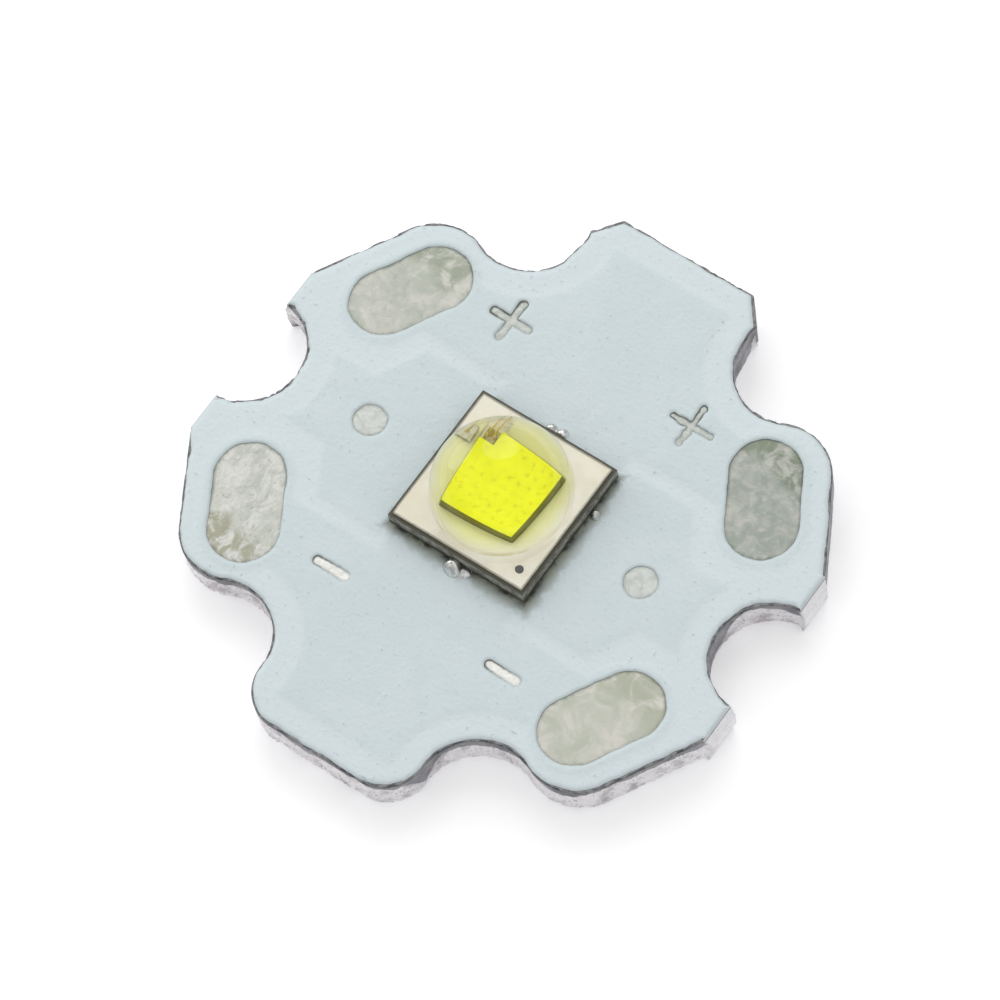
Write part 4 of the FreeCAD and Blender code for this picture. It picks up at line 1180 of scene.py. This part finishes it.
def phosphor_finish():
    finish = Finish("phosphor_powder", roughness=0.75)
    finish.shader.inputs["Specular IOR Level"].default_value = 0.15
    z = finish.axes()[2]
    dots = finish.cells(DOT_PITCH, where=finish.moved(shift=(0, 0, -PHOSPHOR_TOP)), randomness=0.12)
    dot = finish.step(dots, 0.06, 0.36, reverse=True)
    mottle = finish.grain(0.11, detail=3)
    powder = finish.grain(0.05, detail=2)
    cloud = finish.grain(0.6, detail=3)
    top = finish.mixed(finish.step(cloud, 0.3, 0.7), shade(240, 244, 4), shade(250, 253, 24))
    grid = finish.times(finish.times(dot, finish.step(mottle, 0.35, 0.7)), 0.45)
    top = finish.mixed(grid, top, shade(206, 190, 2))
    top = finish.mixed(finish.times(finish.step(mottle, 0.55, 0.75), 0.5), top, shade(228, 216, 2))
    top = finish.mixed(finish.step(powder, 0.6, 0.75), top, shade(252, 254, 70))
    # Painted shade: the sides of the phosphor coat are dark olive.
    side = finish.mixed(powder, shade(120, 118, 30), shade(160, 158, 44))
    finish.colour(finish.mixed(finish.step(z, PHOSPHOR_TOP - 0.03, PHOSPHOR_TOP - 0.012), side, top))
    finish.relief(finish.plus(powder, finish.times(dot, -0.5)), 0.01)
    return finish


def plain_finish(name, pale, dark, size, roughness, metallic=0.0, depth=0.01):
    """Two close colours in a soft grain, for small and mostly hidden parts."""
    finish = Finish(name, roughness=roughness, metallic=metallic)
    grain = finish.grain(size, detail=3)
    finish.colour(finish.mixed(finish.step(grain, 0.35, 0.65), dark, pale))
    finish.relief(grain, depth)
    return finish


dress("phosphor_layer", phosphor_finish())
dress("led_chip", plain_finish("chip_crystal_gold", shade(196, 184, 84), shade(142, 130, 48), 0.08, 0.3))
dress("protection_diode", plain_finish("diode_silicon", shade(222, 218, 176), shade(198, 194, 150), 0.1, 0.5))
dress("chip_bond", plain_finish("bond_alloy", shade(226, 210, 130), shade(204, 186, 104), 0.08, 0.4, 0.2))

# %% [markdown]
# Copper, terminals, vias and solder are ordinary metals. Most of them can only be
# seen in the gap beside the ceramic or when the part is taken apart, yet each has
# the finish of its metal: etched copper, plated pads, reflowed solder.

# %% Metals under the surface
copper_finish = plain_finish("etched_copper", shade(206, 138, 104), shade(178, 110, 80), 0.3, 0.4, 1.0)
for node in COPPER_AREAS:
    dress(node, copper_finish)
plated_finish = plain_finish("plated_terminal", shade(232, 218, 140), shade(208, 190, 104), 0.1, 0.4, 0.2)
for node in ("anode_terminal", "cathode_terminal", "heat_terminal", "anode_vias", "cathode_vias"):
    dress(node, plated_finish)
track_finish = plain_finish("gilded_track", shade(240, 234, 190), shade(226, 218, 160), 0.1, 0.45)
for node in ("anode_track", "cathode_track"):
    dress(node, track_finish)

# %% [markdown]
# ## Solder
# When the emitter was soldered, spare solder was squeezed out at its sides and froze
# as small bright beads on the white ink, each with a thin foot that runs back under
# the ceramic. Every joint is its flat film of solder with its beads beside it. A
# bead is a mound turned about its own middle: a near half ball that flares into a
# skirt where it wets the ink.

# %% Solder joints with their beads
BEAD_TURNS = 28
BEAD_RINGS = 9
BEAD_SINK = 0.04
BEADS = {
    "anode_solder_joint": [(-0.16, 2.77, 0.17, 0.19), (0.22, 2.79, 0.18, 0.20)],
    "heat_solder_joint": [(2.64, 1.10, 0.15, 0.24)],
    "cathode_solder_joint": [(0.0, -2.68, 0.27, 0.36), (0.36, -2.62, 0.20, 0.10)],
}


def bead_mesh(x, y, radius, height, seed):
    """A solder mound on the mask, a little uneven."""
    floor = MASK_TOP - BEAD_SINK
    points, faces = [], []
    for ring in range(BEAD_RINGS):
        climb = ring / BEAD_RINGS
        tilt = math.pi / 2 * climb
        flare = 1 + 0.35 * (1 - climb) ** 5
        for index in range(BEAD_TURNS):
            way = heading(360 * index / BEAD_TURNS)
            reach = radius * math.cos(tilt) * flare * (1 + 0.10 * wander(way.x, way.y, 1.2, seed))
            rise = floor + BEAD_SINK * min(1, climb * 4) + height * math.sin(tilt)
            points.append((x + way.x * reach, y + way.y * reach, rise))
    points.append((x, y, floor + BEAD_SINK + height))
    for ring in range(BEAD_RINGS - 1):
        faces += ring_faces(ring * BEAD_TURNS, (ring + 1) * BEAD_TURNS, BEAD_TURNS)
    faces += tip_faces((BEAD_RINGS - 1) * BEAD_TURNS, len(points) - 1, BEAD_TURNS)
    faces.append(tuple(reversed(range(BEAD_TURNS))))
    return points, faces


def solder_joint(node, finish):
    """The flat film under a terminal together with the beads beside it."""
    film_floor = (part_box(node)[0] / MM).z
    low, high = (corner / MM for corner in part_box(node.replace("_solder_joint", "_terminal")))
    corners = [(low.x, low.y), (high.x, low.y), (high.x, high.y), (low.x, high.y)]
    points, faces, _ = slab_between(corners, film_floor, low.z)
    for seed, bead in enumerate(BEADS[node], start=71):
        more, mounds = bead_mesh(*bead, seed)
        faces += [tuple(i + len(points) for i in face) for face in mounds]
        points += more
    return add_piece(
        node.replace("joint", "film_and_beads"), points, faces, finish,
        stands_for=[node], flat_faces=range(6))


solder_finish = plain_finish(
    "reflowed_solder", shade(240, 240, 238), shade(188, 188, 184), 0.14, 0.24, 1.0, 0.006)
for node in BEADS:
    solder_joint(node, solder_finish)

# %% [markdown]
# ## Bond wires
# A gold wire thinner than a hair is pressed on the chip as a small ball, led up and
# over in a loop, and cut off on the metal track. The solid model has it in straight
# runs. The real loop is smooth, so here each wire is a curve through the same ends,
# and a node tree gives all of them their round section and their ball. A tree suits
# this, because one change of radius reaches every wire.

# %% Node tree for a bonded wire
WIRE_RADIUS = 0.02
BALL_RADIUS = 0.05


def wire_tree(material):
    tree = bpy.data.node_groups.new("bonded_wire", "GeometryNodeTree")
    face = tree.interface
    face.new_socket("Route", in_out="INPUT", socket_type="NodeSocketGeometry")
    radius = face.new_socket("Wire radius", in_out="INPUT", socket_type="NodeSocketFloat")
    ball = face.new_socket("Ball radius", in_out="INPUT", socket_type="NodeSocketFloat")
    face.new_socket("Wire", in_out="OUTPUT", socket_type="NodeSocketGeometry")
    nodes, link = tree.nodes, tree.links.new
    given, result = nodes.new("NodeGroupInput"), nodes.new("NodeGroupOutput")
    even = nodes.new("GeometryNodeResampleCurve")
    even.inputs["Count"].default_value = 40
    ring = nodes.new("GeometryNodeCurvePrimitiveCircle")
    ring.inputs["Resolution"].default_value = 10
    sweep = nodes.new("GeometryNodeCurveToMesh")
    sweep.inputs["Fill Caps"].default_value = True
    foot = nodes.new("GeometryNodeCurveEndpointSelection")
    foot.inputs["End Size"].default_value = 0
    sphere = nodes.new("GeometryNodeMeshUVSphere")
    sphere.inputs["Segments"].default_value = 14
    sphere.inputs["Rings"].default_value = 8
    placed = nodes.new("GeometryNodeInstanceOnPoints")
    placed.inputs["Scale"].default_value = (1, 1, 0.55)
    both = nodes.new("GeometryNodeJoinGeometry")
    real = nodes.new("GeometryNodeRealizeInstances")
    painted = nodes.new("GeometryNodeSetMaterial")
    painted.inputs["Material"].default_value = material
    link(given.outputs["Route"], even.inputs["Curve"])
    link(even.outputs["Curve"], sweep.inputs["Curve"])
    link(given.outputs["Wire radius"], ring.inputs["Radius"])
    link(ring.outputs["Curve"], sweep.inputs["Profile Curve"])
    link(even.outputs["Curve"], placed.inputs["Points"])
    link(foot.outputs["Selection"], placed.inputs["Selection"])
    link(given.outputs["Ball radius"], sphere.inputs["Radius"])
    link(sphere.outputs["Mesh"], placed.inputs["Instance"])
    link(sweep.outputs["Mesh"], both.inputs[0])
    link(placed.outputs["Instances"], both.inputs[0])
    link(both.outputs["Geometry"], real.inputs["Geometry"])
    link(real.outputs["Geometry"], painted.inputs["Geometry"])
    link(painted.outputs["Geometry"], result.inputs["Wire"])
    return tree, radius.identifier, ball.identifier


gold_finish = plain_finish("bonding_gold", shade(222, 200, 96), shade(176, 150, 52), 0.05, 0.3, 0.8, 0.002)
WIRE_TREE, RADIUS_INPUT, BALL_INPUT = wire_tree(gold_finish.material)
print("wire tree nodes:", len(WIRE_TREE.nodes))

# %% [markdown]
# Each wire starts as a smooth curve with seven control points: up from its ball,
# over the crest and down to the track. Its ends are read from the solid wire's box,
# so that it meets the chip and the track where the solid does.

# %% Bond wires
WIRE_FEET = {
    "bond_wire_outer": "led_chip",
    "bond_wire_inner": "led_chip",
    "diode_wire": "protection_diode",
}


def bond_wire(node, foot_node):
    low, high = (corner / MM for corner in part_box(node))
    foot_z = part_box(foot_node)[1].z / MM
    x = (low.x + high.x) / 2
    start, end = low.y + WIRE_RADIUS, high.y - WIRE_RADIUS
    span, top = end - start, high.z - WIRE_RADIUS
    stops = [
        (start, foot_z), (start, foot_z + 0.6 * (top - foot_z)), (start + 0.02 * span, top),
        (start + 0.30 * span, top), (start + 0.80 * span, top - 0.05),
        (end, low.z + 0.45 * (top - low.z)), (end, low.z),
    ]
    route = bpy.data.curves.new(node + "_route", "CURVE")
    route.dimensions = "3D"
    spline = route.splines.new("NURBS")
    spline.points.add(len(stops) - 1)
    for point, (y, z) in zip(spline.points, stops):
        point.co = (x * MM, y * MM, z * MM, 1)
    spline.order_u = 4
    spline.use_endpoint_u = True
    path = bpy.data.objects.new(node + "_route", route)
    bpy.context.scene.collection.objects.link(path)
    modifier = path.modifiers.new("bonded_wire", "NODES")
    modifier.node_group = WIRE_TREE
    modifier[RADIUS_INPUT] = WIRE_RADIUS * MM
    modifier[BALL_INPUT] = BALL_RADIUS * MM
    made = path.evaluated_get(bpy.context.evaluated_depsgraph_get())
    mesh = bpy.data.meshes.new_from_object(made)
    path.modifiers.remove(modifier)
    bpy.data.objects.remove(path)
    bpy.data.curves.remove(route)
    wire = bpy.data.objects.new(node + "_loop", mesh)
    bpy.context.scene.collection.objects.link(wire)
    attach(wire, "root")
    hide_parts(node)
    print(wire.name, len(mesh.polygons), "faces")
    return wire


for node, foot_node in WIRE_FEET.items():
    bond_wire(node, foot_node)

# %% [markdown]
# ## Silicone dome
# Clear silicone is cast over the whole ceramic: a thin sheet with a near half ball
# on it, which magnifies the chip by about its refractive index of 1.45. The solid
# has hollows for everything it encloses. Light would bend at each of those faces,
# so here the silicone is one closed shell whose floor lies just inside the coating,
# and the chip sits inside the clear volume as it does in the cast. A renderer would
# take the dome for an obstacle between lamp and chip, so shadow rays pass through it.

# %% Dome and sheet
DOME_RADIUS = 2.25
DOME_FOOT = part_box("silicone_lens")[1].z / MM - DOME_RADIUS
SHEET_TOP = DOME_FOOT - 0.08
SHEET_HALF = 2.42
DOME_TURNS = 128
DOME_RINGS = 40


def dome_shell():
    """Points and faces of the sheet with the dome on it, and a floor sunk into the coating."""
    floor = COATING_TOP - 0.01
    profile = [(DOME_RADIUS, SHEET_TOP + 0.01), (DOME_RADIUS + 0.004, SHEET_TOP + 0.05)]
    for ring in range(DOME_RINGS):
        tilt = math.pi / 2 * ring / DOME_RINGS
        profile.append((DOME_RADIUS * math.cos(tilt), DOME_FOOT + DOME_RADIUS * math.sin(tilt)))
    circle = [heading(360 * index / DOME_TURNS) for index in range(DOME_TURNS)]
    square = []
    for direction in circle:
        stretch = SHEET_HALF / max(abs(direction.x), abs(direction.y))
        square.append(direction * min(stretch, SHEET_HALF * 1.404))
    points = [(p.x, p.y, floor) for p in square] + [(p.x, p.y, SHEET_TOP) for p in square]
    for radius, z in profile:
        points += [(p.x * radius, p.y * radius, z) for p in circle]
    points.append((0, 0, DOME_FOOT + DOME_RADIUS))
    bands = 2 + len(profile)
    faces = []
    for band in range(bands - 1):
        faces += ring_faces(band * DOME_TURNS, (band + 1) * DOME_TURNS, DOME_TURNS)
    flat = list(range(DOME_TURNS * 2)) + [len(faces)]
    faces.append(tuple(reversed(range(DOME_TURNS))))
    faces += tip_faces((bands - 1) * DOME_TURNS, len(points) - 1, DOME_TURNS)
    return points, faces, flat


def silicone_finish():
    finish = Finish("cast_silicone", (0.985, 0.99, 0.97, 1), roughness=0.03)
    finish.shader.inputs["Transmission Weight"].default_value = 1.0
    finish.shader.inputs["IOR"].default_value = 1.45
    tree = finish.tree
    path = tree.nodes.new("ShaderNodeLightPath")
    clear = tree.nodes.new("ShaderNodeBsdfTransparent")
    either = tree.nodes.new("ShaderNodeMixShader")
    tree.links.new(path.outputs["Is Shadow Ray"], either.inputs[0])
    tree.links.new(finish.shader.outputs[0], either.inputs[1])
    tree.links.new(clear.outputs[0], either.inputs[2])
    tree.links.new(either.outputs[0], tree.nodes["Material Output"].inputs["Surface"])
    return finish


points, faces, flat = dome_shell()
add_piece(
    "silicone_dome", points, faces, silicone_finish(),
    stands_for=["silicone_lens"], flat_faces=flat)

# %% [markdown]
# The black dot on one corner of the coating marks the cathode side. It is printed
# ink a hundredth of a millimetre thick, under the clear sheet.

# %% Polarity dot
DOT_PLACE = (1.97, -1.88)
DOT_RADIUS = 0.14


def build_dot():
    finish = plain_finish("dot_ink", shade(20, 19, 17), shade(10, 9, 8), 0.05, 0.5)
    line = wavy(round_line(DOT_PLACE, DOT_RADIUS, 36), 0.01, 0.1, 51)
    points, faces, flat = slab_between(line, COATING_TOP - 0.005, COATING_TOP + 0.01)
    return add_piece("polarity_dot", points, faces, finish, flat_faces=flat)


build_dot()
